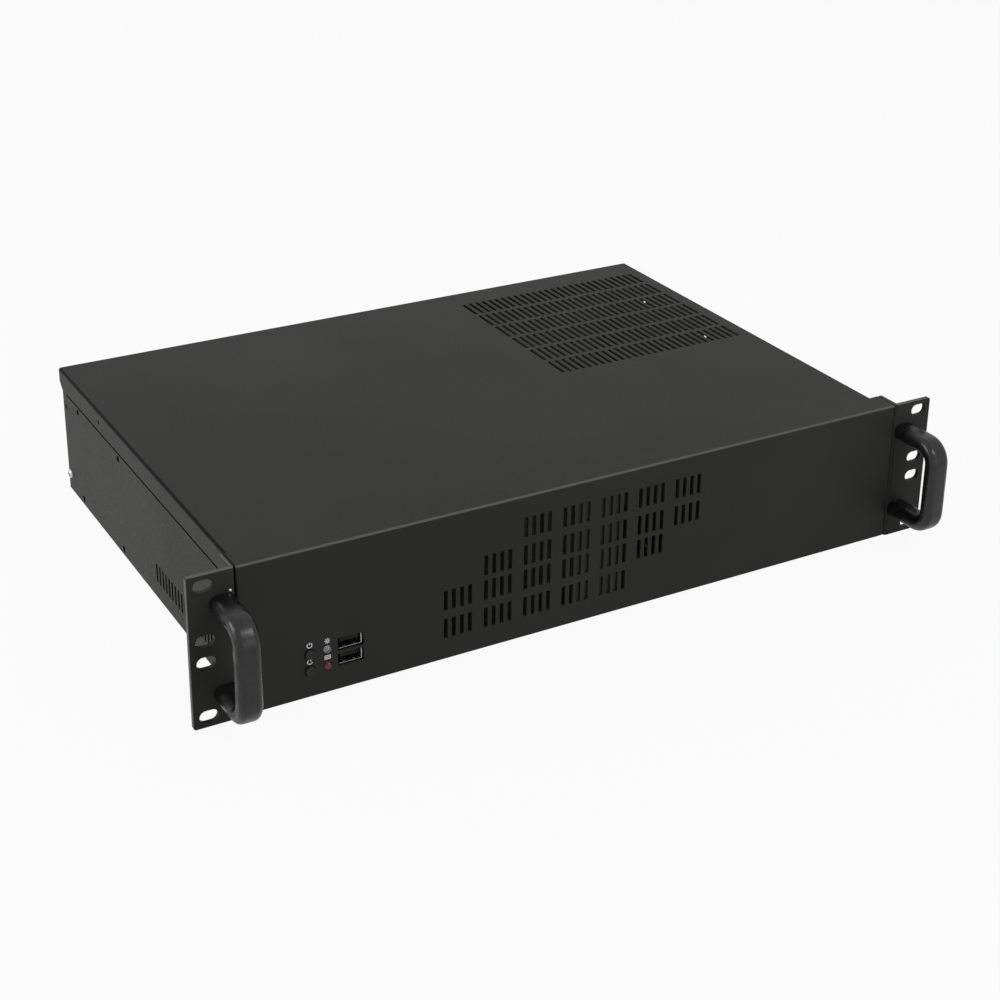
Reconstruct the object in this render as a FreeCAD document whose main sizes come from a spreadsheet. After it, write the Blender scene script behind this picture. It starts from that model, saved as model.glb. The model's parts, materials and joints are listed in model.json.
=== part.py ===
"""Empty two-unit server case for a 19-inch rack, as a parametric document.

Frame, in millimetres: the origin is the centre of the rack slots, on the face of the ears that
meets the rack. +X is to the right as the front is faced, +Y goes back into the rack, +Z is up.
"""
import FreeCAD, Part
import math
import os
import Sketcher

V = FreeCAD.Vector
UP = V(0, 0, 1)
LEFT = "-1"
RIGHT = "1"
ONE_LESS = "1"

doc = FreeCAD.newDocument("rack_case")

SIZES = {
    # Rack standard: overall width, ear height and slot places
    "rack_width": 482.6, "ear_height": 88.8, "ear_sheet": 2.5, "ear_corner": 1.6, "ear_bend": 3.0,
    "ear_bend_inner": 0.5, "ear_width": 27.0, "slot_inset": 8.75, "slot_rows_outer": 76.2, "slot_rows_inner": 12.7,
    "slot_length": 10.5, "slot_width": 7.0,
    # Case: depth over ear and cover, sheets, and the gap round whatever slides
    "case_depth": 300.0, "sheet": 1.0, "panel_sheet": 1.5, "slide_gap": 0.3,
    "bend_outer": 1.5, "bend_inner": 0.5, "wall_flange": 8.0,
    # Front panel, a shallow folded tray between the ears
    "panel_recess": 0.4, "panel_depth": 16.0, "panel_edge": 1.2, "panel_corner": 1.0,
    # Cover
    "cover_drop": 2.7, "cover_flange": 13.0, "cover_back_flange": 10.0, "cover_notch": 5.0,
    "cover_dot_radius": 1.3, "cover_dot_from_back": 77.5, "cover_dot_drop": 7.0,
    # Vent slots share one width and pitch
    "vent_width": 2.5, "vent_pitch": 5.0,
    "cover_vent_length": 19.5, "cover_vent_row_pitch": 23.0, "cover_vent_columns": 28,
    "cover_vent_rows": 6, "cover_vent_back_margin": 21.5,
    "panel_vent_length": 12.3, "panel_vent_group": 25.0, "panel_vent_in_group": 4,
    "panel_vent_left": -94.3, "panel_vent_row_inner": 7.65, "panel_vent_row_outer": 24.95,
    "side_vent_length": 12.0, "side_vent_count": 20, "side_vent_front": 36.5,
    "side_vent_height": -25.0,
    # Holes in the side walls for rack slides
    "rail_hole_radius": 2.1, "rail_hole_from_back": 29.2, "rail_hole_pitch": 76.0,
    "rail_hole_low": -37.7, "rail_hole_rise": 60.0,
    # Front wall: two air openings and a window behind the controls
    "air_opening_width": 86.0, "air_opening_height": 68.0, "web_left": -10.6, "web_width": 30.0,
    "window_from_side": 30.3, "window_width": 43.0, "window_low": -35.0, "window_height": 26.0,
    # Rear panel
    "rear_return": 12.0, "io_width": 158.75, "io_height": 44.45, "io_drop": 3.81,
    "io_from_board": 4.0, "rear_vent_length": 20.0, "rear_vent_columns": 28,
    "rear_vent_height": 20.0,
    "expansion_pitch": 20.32, "expansion_count": 4, "expansion_from_board": 173.5,
    "expansion_opening": 12.5, "expansion_height": 57.0, "expansion_low": -36.5,
    "blank_width": 18.4, "blank_sheet": 0.9, "blank_foot": 4.0, "blank_tab": 11.0,
    "ledge_depth": 10.8, "ledge_top": 27.5, "ledge_window": 5.0, "ledge_margin": 12.0,
    "ledge_screw_out": 6.0,
    "psu_from_wall": 76.2, "psu_holes_wide": 113.0, "psu_holes_high": 51.5, "psu_hole_radius": 1.9,
    "psu_opening_width": 104.0, "psu_opening_height": 57.0, "psu_height": 63.5,
    "rear_screw_in": 5.2, "rear_screw_low": -30.0, "rear_hole_high": 17.0,
    # Main board, held on threaded standoffs
    "board_right": 60.0, "board_gap": 1.2, "board_thick": 1.57, "standoff_height": 6.35,
    "standoff_flats": 5.5, "standoff_bore": 1.4, "standoff_foot": 2.0, "foot_gap": 0.05,
    "board_column_first": 16.51, "board_column_second": 173.99, "board_column_third": 219.71,
    "board_row_back": 10.16, "board_row_back_right": 33.02, "board_row_middle": 165.1,
    "board_row_front": 237.49,
    # Drive tray
    "tray_width": 112.0, "tray_front": 32.0, "tray_length": 128.0,
    "tray_rise": 12.0, "tray_foot": 11.0, "drive_holes_wide": 95.25, "drive_holes_deep": 44.45,
    "drive_hole_radius": 1.8, "drive_holes_front": 45.0,
    # Handles
    "handle_width": 14.0, "handle_thick": 9.5, "handle_corner": 4.2, "handle_reach": 36.0,
    "handle_height": 62.0, "handle_bend": 10.5, "handle_inset": 8.0, "handle_bore": 1.65,
    "handle_bore_depth": 12.0,
    # Fasteners
    "countersunk_radius": 3.7, "countersunk_height": 2.0, "screw_four": 2.0, "screw_three": 1.5,
    "head_four": 3.9, "head_four_height": 2.4, "head_three": 2.9, "head_three_height": 1.9,
    "thread_gap": 0.1, "hole_gap": 0.25, "ear_screw_back": 7.4, "ear_screw_low": -28.0, "ear_screw_high": 22.0,
    "nut_radius": 3.6, "nut_flange": 4.5, "nut_length": 6.0, "cover_screw_spread": 150.0,
    "cover_screw_drop": 6.0, "cover_screw_length": 7.0,
    # Controls
    "button_from_side": 39.1, "power_row": -17.9, "control_row_pitch": 9.9,
    "led_from_side": 49.3,
    "button_radius": 2.9, "button_proud": 1.3, "button_edge": 0.5, "button_collar": 3.9,
    "button_collar_thick": 1.0, "button_stem": 1.4, "button_travel": 1.0, "plunger_depth": 0.7,
    "switch_size": 6.0, "switch_height": 4.0, "switch_bore_depth": 3.0,
    "led_radius": 2.5, "led_proud": 1.6, "led_dome": 2.2, "led_flange": 2.85,
    "led_flange_thick": 1.0, "led_length": 7.0, "led_gap": 0.1,
    "usb_from_side": 62.9, "usb_row_top": -17.0, "usb_pitch": 9.3, "usb_hole_width": 15.2,
    "usb_hole_height": 7.9, "usb_width": 14.0, "usb_height": 6.6, "usb_wall": 0.4,
    "usb_corner": 0.7, "usb_set_back": 1.5, "usb_tongue_width": 11.0, "usb_tongue_thick": 1.9,
    "usb_tongue_back": 1.2, "usb_plug_depth": 9.0,
    "io_board_from_side": 22.3, "io_board_width": 58.0, "io_board_low": -36.0,
    "io_board_height": 27.0, "io_board_thick": 1.6, "io_board_back": 10.4,
    "spacer_flats": 5.0, "spacer_bore": 1.3, "spacer_inset": 3.5, "spacer_height": -22.5,
}

sizes = doc.addObject("Spreadsheet::Sheet", "Sizes")
for row, (alias, size) in enumerate(SIZES.items(), start=1):
    sizes.set(f"A{row}", alias)
    sizes.set(f"B{row}", str(size))
    sizes.setAlias(f"B{row}", alias)
doc.recompute()


def named(text):
    """Expression text in which each word between braces is a cell of the sheet."""
    return text.replace("{", "Sizes.").replace("}", "")


# Places that follow from the sizes, as expressions
HALF_EAR = named("{ear_height} / 2")
EAR_FRONT = named("-{ear_sheet}")
PANEL_HALF = named("({rack_width} / 2 - {ear_width})")
PANEL_INSIDE = named(f"({PANEL_HALF} - {{panel_sheet}})")
COVER_HALF = named(f"({PANEL_INSIDE} - {{slide_gap}})")
COVER_INSIDE = named(f"({COVER_HALF} - {{sheet}})")
WALL_OUTSIDE = named(f"({COVER_INSIDE} - {{slide_gap}})")
WALL_INSIDE = named(f"({WALL_OUTSIDE} - {{sheet}})")
LEG_OUTSIDE = named(f"({PANEL_HALF} + {{ear_sheet}})")
PANEL_FRONT = named("({panel_recess} - {ear_sheet})")
PANEL_BACK = named(f"({PANEL_FRONT} + {{panel_sheet}})")
PANEL_END = named(f"({PANEL_FRONT} + {{panel_depth}})")
BOTTOM = named(f"({{panel_sheet}} - {HALF_EAR})")
FLOOR = named(f"({BOTTOM} + {{sheet}})")
COVER_TOP = named(f"({HALF_EAR} - {{cover_drop}})")
COVER_UNDER = named(f"({COVER_TOP} - {{sheet}})")
WALL_TOP = named(f"({COVER_UNDER} - {{slide_gap}})")
FLANGE_UNDER = named(f"({WALL_TOP} - {{sheet}})")
COVER_BACK = named("({case_depth} - {ear_sheet})")
REAR_OUTSIDE = named(f"({COVER_BACK} - {{sheet}} - {{slide_gap}})")
REAR_INSIDE = named(f"({REAR_OUTSIDE} - {{sheet}})")
WALL_FRONT = PANEL_BACK
WALL_BACK_FACE = named(f"({WALL_FRONT} + {{sheet}})")
BOARD_BACK = named(f"({REAR_INSIDE} - {{board_gap}})")
STANDOFF_TOP = named(f"({FLOOR} + {{standoff_height}})")
IO_LOW = named(f"({STANDOFF_TOP} + {{board_thick}} - {{io_drop}})")
IO_RIGHT = named("({board_right} - {io_from_board})")
PSU_MIDDLE = named(f"({WALL_INSIDE} - {{psu_from_wall}})")
PSU_MIDDLE_HEIGHT = named(f"({FLOOR} + {{psu_height}} / 2)")
EAR_SCREW_LINE = named("{ear_screw_back}")
HANDLE_MIDDLE = named(f"({PANEL_HALF} + {{handle_inset}})")
SLOT_MIDDLE = named("({rack_width} / 2 - {slot_inset})")
BUTTON_COLUMN = named(f"({{button_from_side}} - {PANEL_HALF})")
LED_COLUMN = named(f"({{led_from_side}} - {PANEL_HALF})")
USB_COLUMN = named(f"({{usb_from_side}} - {PANEL_HALF})")
IO_BOARD_LEFT = named(f"({{io_board_from_side}} - {PANEL_HALF})")
RAIL_HOLE_BACK = named(f"({REAR_OUTSIDE} - {{rail_hole_from_back}})")
COVER_SCREW_HEIGHT = named(f"({COVER_TOP} - {{cover_screw_drop}})")
LEDGE_SCREW_LINE = named(f"({REAR_OUTSIDE} + {{ledge_screw_out}})")
TRAY_TOP = named(f"({FLOOR} + {{tray_rise}})")
HANDLE_ARM = named("(({handle_height} - {handle_thick}) / 2)")
BOARD_FRONT_FACE = named("{io_board_back}")

holes = []


def number(expression):
    return float(sizes.evalExpression(expression))


def new_body(label):
    body = doc.addObject("PartDesign::Body", label)
    body.Label = label
    return body


def new_sketch(body, plane, along="0"):
    """Sketch on an origin plane of its body, moved along the axis that the plane faces."""
    sketch = body.newObject("Sketcher::SketchObject", "Sketch")
    role = plane + "_Plane"
    support = [feature for feature in body.Origin.OriginFeatures if feature.Role == role][0]
    sketch.AttachmentSupport = (support, [""])
    sketch.MapMode = "FlatFace"
    sign = "-" if plane == "XZ" else ""
    sketch.setExpression("AttachmentOffset.Base.z", f"{sign}({along})")
    return sketch


def bind(sketch, kind, refs, expression):
    """Dimension of the sketch that follows an expression; a zero keeps the point on the axis."""
    size = number(expression)
    if kind != "Radius" and abs(size) < 1e-9:
        axis = -2 if kind == "DistanceX" else -1
        sketch.addConstraint(Sketcher.Constraint("PointOnObject", refs[0], refs[1], axis))
        return
    if kind == "Radius":
        index = sketch.addConstraint(Sketcher.Constraint(kind, refs[0], size))
    else:
        index = sketch.addConstraint(Sketcher.Constraint(kind, -1, 1, refs[0], refs[1], size))
    sketch.setExpression(f"Constraints[{index}]", expression)


def outline(sketch, corners, closed=True):
    """Level and upright lines through corners (x, y) or (x, y, radius), each an expression."""
    spots = [V(number(corner[0]), number(corner[1]), 0) for corner in corners]
    radii = [number(corner[2]) if len(corner) == 3 else 0.0 for corner in corners]
    count = len(corners)
    runs = count if closed else count - 1
    ways = [(spots[(i + 1) % count] - spots[i]).normalize() for i in range(runs)]
    lines = []
    for i in range(runs):
        following = (i + 1) % count
        start = spots[i] + ways[i] * radii[i]
        end = spots[following] - ways[i] * radii[following]
        line = sketch.addGeometry(Part.LineSegment(start, end))
        level = abs(ways[i].x) > 0.5
        sketch.addConstraint(Sketcher.Constraint("Horizontal" if level else "Vertical", line))
        lines.append(line)
    for i in range(0 if closed else 1, runs):
        before, after = lines[i - 1], lines[i]
        if radii[i] == 0:
            sketch.addConstraint(Sketcher.Constraint("Coincident", before, 2, after, 1))
            continue
        centre = spots[i] + (ways[i] - ways[i - 1]) * radii[i]
        left_turn = ways[i - 1].cross(ways[i]).z > 0
        first = spots[i] - ways[i - 1] * radii[i] if left_turn else spots[i] + ways[i] * radii[i]
        start_angle = math.atan2(first.y - centre.y, first.x - centre.x)
        circle = Part.Circle(centre, UP, radii[i])
        quarter = Part.ArcOfCircle(circle, start_angle, start_angle + math.pi / 2)
        arc = sketch.addGeometry(quarter)
        entry, leave = (1, 2) if left_turn else (2, 1)
        sketch.addConstraint(Sketcher.Constraint("Tangent", before, 2, arc, entry))
        sketch.addConstraint(Sketcher.Constraint("Tangent", arc, leave, after, 1))
        bind(sketch, "Radius", (arc,), corners[i][2])
    kinds = ("DistanceX", "DistanceY")
    across = [1 if abs(way.x) > 0.5 else 0 for way in ways]
    for i, line in enumerate(lines):
        bind(sketch, kinds[across[i]], (line, 1), corners[i][across[i]])
    if not closed:
        start, end = 1 - across[0], 1 - across[-1]
        bind(sketch, kinds[start], (lines[0], 1), corners[0][start])
        bind(sketch, kinds[end], (lines[-1], 2), corners[-1][end])


def rectangle(sketch, left, low, width, height, radius=None):
    right = f"{left} + {width}"
    high = f"{low} + {height}"
    corners = [(left, low), (right, low), (right, high), (left, high)]
    if radius:
        corners = [(x, y, radius) for x, y in corners]
    outline(sketch, corners)


def centred(sketch, x, y, width, height, radius=None):
    rectangle(sketch, f"{x} - {width} / 2", f"{y} - {height} / 2", width, height, radius)


def circle(sketch, x, y, radius):
    centre = V(number(x), number(y), 0)
    ring = sketch.addGeometry(Part.Circle(centre, UP, number(radius)))
    bind(sketch, "DistanceX", (ring, 3), x)
    bind(sketch, "DistanceY", (ring, 3), y)
    bind(sketch, "Radius", (ring,), radius)


def long_hole(sketch, x, y, length, width):
    """Slot with round ends, lying level, about its centre."""
    radius = f"{width} / 2"
    reach = f"({length} - {width}) / 2"
    size = number(radius)
    ends = [V(number(f"{x} - {reach}"), number(y), 0), V(number(f"{x} + {reach}"), number(y), 0)]
    rise = V(0, size, 0)
    low = sketch.addGeometry(Part.LineSegment(ends[0] - rise, ends[1] - rise))
    right_circle = Part.Circle(ends[1], UP, size)
    right = sketch.addGeometry(Part.ArcOfCircle(right_circle, -math.pi / 2, math.pi / 2))
    high = sketch.addGeometry(Part.LineSegment(ends[1] + rise, ends[0] + rise))
    left_circle = Part.Circle(ends[0], UP, size)
    left = sketch.addGeometry(Part.ArcOfCircle(left_circle, math.pi / 2, 3 * math.pi / 2))
    for before, after in ((low, right), (right, high), (high, left), (left, low)):
        sketch.addConstraint(Sketcher.Constraint("Tangent", before, 2, after, 1))
    sketch.addConstraint(Sketcher.Constraint("Horizontal", low))
    bind(sketch, "Radius", (right,), radius)
    bind(sketch, "DistanceX", (left, 3), f"{x} - {reach}")
    bind(sketch, "DistanceX", (right, 3), f"{x} + {reach}")
    bind(sketch, "DistanceY", (left, 3), y)


def hexagon(sketch, x, y, flats):
    """Hexagon with two flats upright, drawn about its construction circle."""
    centre = V(number(x), number(y), 0)
    radius = f"{flats} / sqrt(3)"
    ring = sketch.addGeometry(Part.Circle(centre, UP, number(radius)), True)
    bind(sketch, "DistanceX", (ring, 3), x)
    bind(sketch, "DistanceY", (ring, 3), y)
    bind(sketch, "Radius", (ring,), radius)
    spots = []
    for i in range(6):
        turn = math.radians(30 + 60 * i)
        spots.append(centre + V(math.cos(turn), math.sin(turn), 0) * number(radius))
    lines = [sketch.addGeometry(Part.LineSegment(spots[i], spots[(i + 1) % 6])) for i in range(6)]
    for i in range(6):
        sketch.addConstraint(Sketcher.Constraint("Coincident", lines[i - 1], 2, lines[i], 1))
        sketch.addConstraint(Sketcher.Constraint("PointOnObject", lines[i], 1, ring))
        if i:
            sketch.addConstraint(Sketcher.Constraint("Equal", lines[0], lines[i]))
    sketch.addConstraint(Sketcher.Constraint("Vertical", lines[5]))


def faces_back(sketch):
    return sketch.AttachmentSupport[0][0].Role == "XZ_Plane"


def pad(body, sketch, length, forward=True, taper=None):
    """Pad along the positive axis, or against it, with an optional taper in degrees."""
    feature = body.newObject("PartDesign::Pad", "Pad")
    feature.Profile = (sketch, [""])
    feature.Reversed = forward == faces_back(sketch)
    feature.setExpression("Length", length)
    if taper is not None:
        feature.TaperAngle = taper
    body.Tip = feature
    return feature


def cut_through(body, sketch):
    feature = body.newObject("PartDesign::Pocket", "Pocket")
    feature.Profile = (sketch, [""])
    feature.Type = "ThroughAll"
    feature.SideType = "Symmetric"
    body.Tip = feature
    holes.append(feature)
    return feature


def cut(body, sketch, depth, forward=True, taper=None):
    """Pocket of a stated depth along the positive axis, or against it."""
    feature = body.newObject("PartDesign::Pocket", "Pocket")
    feature.Profile = (sketch, [""])
    feature.Reversed = forward != faces_back(sketch)
    feature.setExpression("Length", depth)
    if taper is not None:
        feature.TaperAngle = taper
    body.Tip = feature
    holes.append(feature)
    return feature


def repeat(body, feature, sketch, steps):
    """Pattern of a feature; steps are (sketch axis, spacing, count) for one or two ways."""
    pattern = body.newObject("PartDesign::LinearPattern", "Pattern")
    pattern.Originals = [feature]
    for suffix, (axis, spacing, count) in zip(("", "2"), steps):
        setattr(pattern, "Direction" + suffix, (sketch, [axis]))
        setattr(pattern, "Mode" + suffix, "Extent")
        pattern.setExpression("Length" + suffix, f"({spacing}) * ({count} - {ONE_LESS})")
        pattern.setExpression("Occurrences" + suffix, count)
    body.Tip = pattern
    holes.append(pattern)
    return pattern


def round_edges(body, feature, radius, chosen):
    """Fillet of the edges that a test picks by their middle and direction."""
    doc.recompute()
    names = []
    for index, edge in enumerate(feature.Shape.Edges, start=1):
        middle = edge.valueAt((edge.FirstParameter + edge.LastParameter) / 2)
        box = edge.BoundBox
        if chosen(middle, box):
            names.append(f"Edge{index}")
    fillet = body.newObject("PartDesign::Fillet", "Fillet")
    fillet.Base = (feature, names)
    fillet.setExpression("Radius", radius)
    body.Tip = fillet
    return fillet


def near(first, second):
    return abs(first - second) < 1e-4


def screw_group(label, plane, seat, spots, shank, length, head, head_height, forward):
    """Pan-head screws that share a seat plane; the shanks go the way forward says."""
    body = new_body(label)
    shanks = new_sketch(body, plane, seat)
    heads = new_sketch(body, plane, seat)
    for x, y in spots:
        circle(shanks, x, y, shank)
        circle(heads, x, y, head)
    pad(body, heads, head_height, not forward)
    pad(body, shanks, length, forward)
    return body


def chassis_pan():
    """Folded pan: the floor and the side walls, whose top edges turn inwards."""
    body = new_body("chassis_pan")
    profile = new_sketch(body, "XZ", WALL_FRONT)
    lip = named(f"({WALL_OUTSIDE} - {{wall_flange}})")
    outer, inner = named("{bend_outer}"), named("{bend_inner}")
    outline(profile, [
        (f"-{lip}", WALL_TOP), (f"-{WALL_OUTSIDE}", WALL_TOP, outer),
        (f"-{WALL_OUTSIDE}", BOTTOM, outer), (WALL_OUTSIDE, BOTTOM, outer),
        (WALL_OUTSIDE, WALL_TOP, outer), (lip, WALL_TOP), (lip, FLANGE_UNDER),
        (WALL_INSIDE, FLANGE_UNDER, inner), (WALL_INSIDE, FLOOR, inner),
        (f"-{WALL_INSIDE}", FLOOR, inner), (f"-{WALL_INSIDE}", FLANGE_UNDER, inner),
        (f"-{lip}", FLANGE_UNDER)])
    pad(body, profile, f"{REAR_OUTSIDE} - {WALL_FRONT}")
    vents = new_sketch(body, "YZ")
    centred(vents, named("{side_vent_front}"), named("{side_vent_height}"), named("{vent_width}"),
            named("{side_vent_length}"))
    vent = cut_through(body, vents)
    repeat(body, vent, vents, [("H_Axis", named("{vent_pitch}"), named("{side_vent_count}"))])

    sides = new_sketch(body, "YZ")
    for y in (RAIL_HOLE_BACK, named(f"{RAIL_HOLE_BACK} - {{rail_hole_pitch}}")):
        for z in (named("{rail_hole_low}"), named("{rail_hole_low} + {rail_hole_rise}")):
            circle(sides, y, z, named("{rail_hole_radius}"))
    for z in (named("{rear_screw_low}"), named("{rear_hole_high}")):
        circle(sides, REAR_SCREW_LINE, z, named("{screw_three} + {thread_gap}"))
    for z in EAR_SCREW_HEIGHTS:
        circle(sides, EAR_SCREW_LINE, z, named("{nut_radius} + {foot_gap}"))
    cut_through(body, sides)

    floor = new_sketch(body, "XY", BOTTOM)
    for x, y in STANDOFF_SPOTS:
        circle(floor, x, y, named("{standoff_foot} + {foot_gap}"))
    for x, y in TRAY_SCREW_SPOTS:
        circle(floor, x, y, named("{screw_three} + {thread_gap}"))
    cut(body, floor, named("{sheet}"))
    return body


def front_wall():
    """Plate welded across the pan behind the front panel, open behind its grille."""
    body = new_body("front_wall")
    wall = new_sketch(body, "XZ", WALL_FRONT)
    rectangle(wall, f"-{WALL_INSIDE}", FLOOR, f"2 * {WALL_INSIDE}", f"{FLANGE_UNDER} - {FLOOR}",
              named("{bend_inner}"))
    pad(body, wall, named("{sheet}"))
    openings = new_sketch(body, "XZ", WALL_FRONT)
    low = named("-{air_opening_height} / 2")
    rectangle(openings, named("{web_left} - {air_opening_width}"), low,
              named("{air_opening_width}"), named("{air_opening_height}"), named("{bend_outer}"))
    rectangle(openings, named("{web_left} + {web_width}"), low,
              named("{air_opening_width}"), named("{air_opening_height}"), named("{bend_outer}"))
    rectangle(openings, named(f"({{window_from_side}} - {PANEL_HALF})"), named("{window_low}"),
              named("{window_width}"), named("{window_height}"), named("{bend_outer}"))
    for x in SPACER_COLUMNS:
        circle(openings, x, named("{spacer_height}"), named("{screw_three} + {hole_gap}"))
    cut(body, openings, f"{WALL_BACK_FACE} - {WALL_FRONT}")
    return body


def rear_panel():
    """Shallow tray that closes the back, with every opening and the card ledge."""
    body = new_body("rear_panel")
    block = new_sketch(body, "XZ", f"{REAR_OUTSIDE} - {named('{rear_return}')}")
    rectangle(block, f"-{WALL_INSIDE}", FLOOR, f"2 * {WALL_INSIDE}", f"{FLANGE_UNDER} - {FLOOR}",
              named("{bend_inner}"))
    pad(body, block, named("{rear_return}"))
    hollow = new_sketch(body, "XZ", f"{REAR_OUTSIDE} - {named('{rear_return}')}")
    rectangle(hollow, f"{named('{sheet}')} - {WALL_INSIDE}", f"{FLOOR} + {named('{sheet}')}",
              f"2 * ({WALL_INSIDE} - {named('{sheet}')})",
              f"{FLANGE_UNDER} - {FLOOR} - 2 * {named('{sheet}')}")
    cut(body, hollow, named("{rear_return} - {sheet}"))

    floor_notch = new_sketch(body, "XY", FLOOR)
    rectangle(floor_notch, f"{SLOT_LEFT} - {named('{blank_width} / 2 + {slide_gap}')}",
              f"{REAR_OUTSIDE} - {named('{rear_return}')} - {named('{slide_gap}')}",
              f"{IO_RIGHT} + {named('{board_column_first}')} - {SLOT_LEFT}",
              named("{rear_return} - {sheet} + {slide_gap}"))
    cut(body, floor_notch, named("{sheet}"))

    ledge = new_sketch(body, "XZ", REAR_OUTSIDE)
    rectangle(ledge, LEDGE_LEFT, named("{ledge_top} - {sheet}"), LEDGE_WIDTH, named("{sheet}"))
    pad(body, ledge, named("{ledge_depth}"))

    openings = new_sketch(body, "XZ", REAR_INSIDE)
    rectangle(openings, f"{IO_RIGHT} - {named('{io_width}')}", IO_LOW, named("{io_width}"),
              named("{io_height}"))
    rectangle(openings, LEDGE_LEFT, named("{ledge_top}"), LEDGE_WIDTH, named("{ledge_window}"))
    for x in COVER_SCREW_COLUMNS:
        circle(openings, x, COVER_SCREW_HEIGHT, named("{screw_three} + {thread_gap}"))
    cut(body, openings, named("{sheet}"))

    supply = new_sketch(body, "XZ", REAR_INSIDE)
    centred(supply, PSU_MIDDLE, PSU_MIDDLE_HEIGHT, named("{psu_opening_width}"),
            named("{psu_opening_height}"), named("{bend_outer}"))
    for x in (named(f"{PSU_MIDDLE} - {{psu_holes_wide}} / 2"),
              named(f"{PSU_MIDDLE} + {{psu_holes_wide}} / 2")):
        for z in (f"{PSU_MIDDLE_HEIGHT} - {named('{psu_holes_high} / 2')}",
                  f"{PSU_MIDDLE_HEIGHT} + {named('{psu_holes_high} / 2')}"):
            circle(supply, x, z, named("{psu_hole_radius}"))
    cut(body, supply, named("{sheet}"))

    cards = new_sketch(body, "XZ", REAR_INSIDE)
    rectangle(cards, f"{SLOT_LEFT} - {named('{expansion_opening} / 2')}", named("{expansion_low}"),
              named("{expansion_opening}"), named("{expansion_height}"))
    card = cut(body, cards, named("{sheet}"))
    repeat(body, card, cards,
           [("H_Axis", named("{expansion_pitch}"), named("{expansion_count}"))])

    vents = new_sketch(body, "XZ", REAR_INSIDE)
    first = f"{IO_RIGHT} - {named('{io_width} + {vent_pitch}')}"
    rectangle(vents, f"{first} + {named('{vent_pitch} * 3')}",
              named("{rear_vent_height} - {rear_vent_length} / 2"), named("{vent_width}"),
              named("{rear_vent_length}"))
    vent = cut(body, vents, named("{sheet}"))
    repeat(body, vent, vents, [("H_Axis", named("{vent_pitch}"), named("{rear_vent_columns}"))])

    sides = new_sketch(body, "YZ")
    for z in (named("{rear_screw_low}"), named("{rear_hole_high}")):
        circle(sides, REAR_SCREW_LINE, z, named("{screw_three} + {thread_gap}"))
    cut_through(body, sides)

    ledge_holes = new_sketch(body, "XY", named("{ledge_top}"))
    for x in EXPANSION_COLUMNS:
        circle(ledge_holes, x, LEDGE_SCREW_LINE, named("{screw_three} + {thread_gap}"))
    cut(body, ledge_holes, named("{sheet}"), forward=False)
    return body


def top_cover():
    """Lid with side flanges outside the walls, a back flange and the large grille."""
    body = new_body("top_cover")
    front = named(f"{PANEL_BACK} + {{slide_gap}}")
    low = f"{COVER_TOP} - {named('{cover_flange}')}"
    outer, inner = named("{bend_outer}"), named("{bend_inner}")
    profile = new_sketch(body, "XZ", front)
    outline(profile, [
        (f"-{COVER_HALF}", low), (f"-{COVER_INSIDE}", low),
        (f"-{COVER_INSIDE}", COVER_UNDER, inner), (COVER_INSIDE, COVER_UNDER, inner),
        (COVER_INSIDE, low), (COVER_HALF, low), (COVER_HALF, COVER_TOP, outer),
        (f"-{COVER_HALF}", COVER_TOP, outer)])
    pad(body, profile, f"{COVER_BACK} - ({front})")
    back = new_sketch(body, "XZ", f"{COVER_BACK} - {named('{sheet}')}")
    rectangle(back, f"-{COVER_HALF} + {named('{bend_outer}')}",
              f"{COVER_TOP} - {named('{cover_back_flange}')}",
              f"2 * ({COVER_HALF} - {named('{bend_outer}')})",
              named("{cover_back_flange} - {sheet} / 2"))
    pad(body, back, named("{sheet}"))
    doc.recompute()
    edge_high = number(COVER_TOP)
    edge_back = number(COVER_BACK)
    round_edges(body, body.Tip, named("{sheet} * 0.8"),
                lambda at, box: near(at.z, edge_high) and near(at.y, edge_back)
                and near(box.ZLength, 0))

    notch = new_sketch(body, "YZ")
    size = named("{cover_notch}")
    corner = V(number(COVER_BACK), number(low), 0)
    lines = [
        sketch_line(notch, corner, corner - V(number(size), 0, 0)),
        sketch_line(notch, corner - V(number(size), 0, 0), corner + V(0, number(size), 0)),
        sketch_line(notch, corner + V(0, number(size), 0), corner)]
    for i in range(3):
        notch.addConstraint(Sketcher.Constraint("Coincident", lines[i - 1], 2, lines[i], 1))
    notch.addConstraint(Sketcher.Constraint("Horizontal", lines[0]))
    notch.addConstraint(Sketcher.Constraint("Vertical", lines[2]))
    bind(notch, "DistanceX", (lines[0], 1), COVER_BACK)
    bind(notch, "DistanceY", (lines[0], 1), low)
    bind(notch, "DistanceX", (lines[1], 1), f"{COVER_BACK} - {size}")
    bind(notch, "DistanceY", (lines[1], 2), f"{low} + {size}")
    cut_through(body, notch)

    dot = new_sketch(body, "YZ")
    circle(dot, named(f"{COVER_BACK} - {{cover_dot_from_back}}"), f"{COVER_TOP} - {named('{cover_dot_drop}')}",
           named("{cover_dot_radius}"))
    cut_through(body, dot)

    vents = new_sketch(body, "XY", COVER_UNDER)
    column = named(f"{PSU_MIDDLE} - {{vent_pitch}} * ({{cover_vent_columns}} - 1) / 2")
    row_back = f"{COVER_BACK} - {named('{cover_vent_back_margin} - {cover_vent_length} / 2')}"
    row = f"{row_back} - {named('{cover_vent_row_pitch} * ({cover_vent_rows} - 1)')}"
    centred(vents, column, row, named("{vent_width}"), named("{cover_vent_length}"))
    vent = cut(body, vents, named("{sheet}"))
    repeat(body, vent, vents, [
        ("H_Axis", named("{vent_pitch}"), named("{cover_vent_columns}")),
        ("V_Axis", named("{cover_vent_row_pitch}"), named("{cover_vent_rows}"))])

    screws = new_sketch(body, "XZ", f"{COVER_BACK} - {named('{sheet}')}")
    for x in COVER_SCREW_COLUMNS:
        circle(screws, x, COVER_SCREW_HEIGHT, named("{screw_three} + {foot_gap}"))
    cut(body, screws, named("{sheet}"))
    return body


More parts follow.
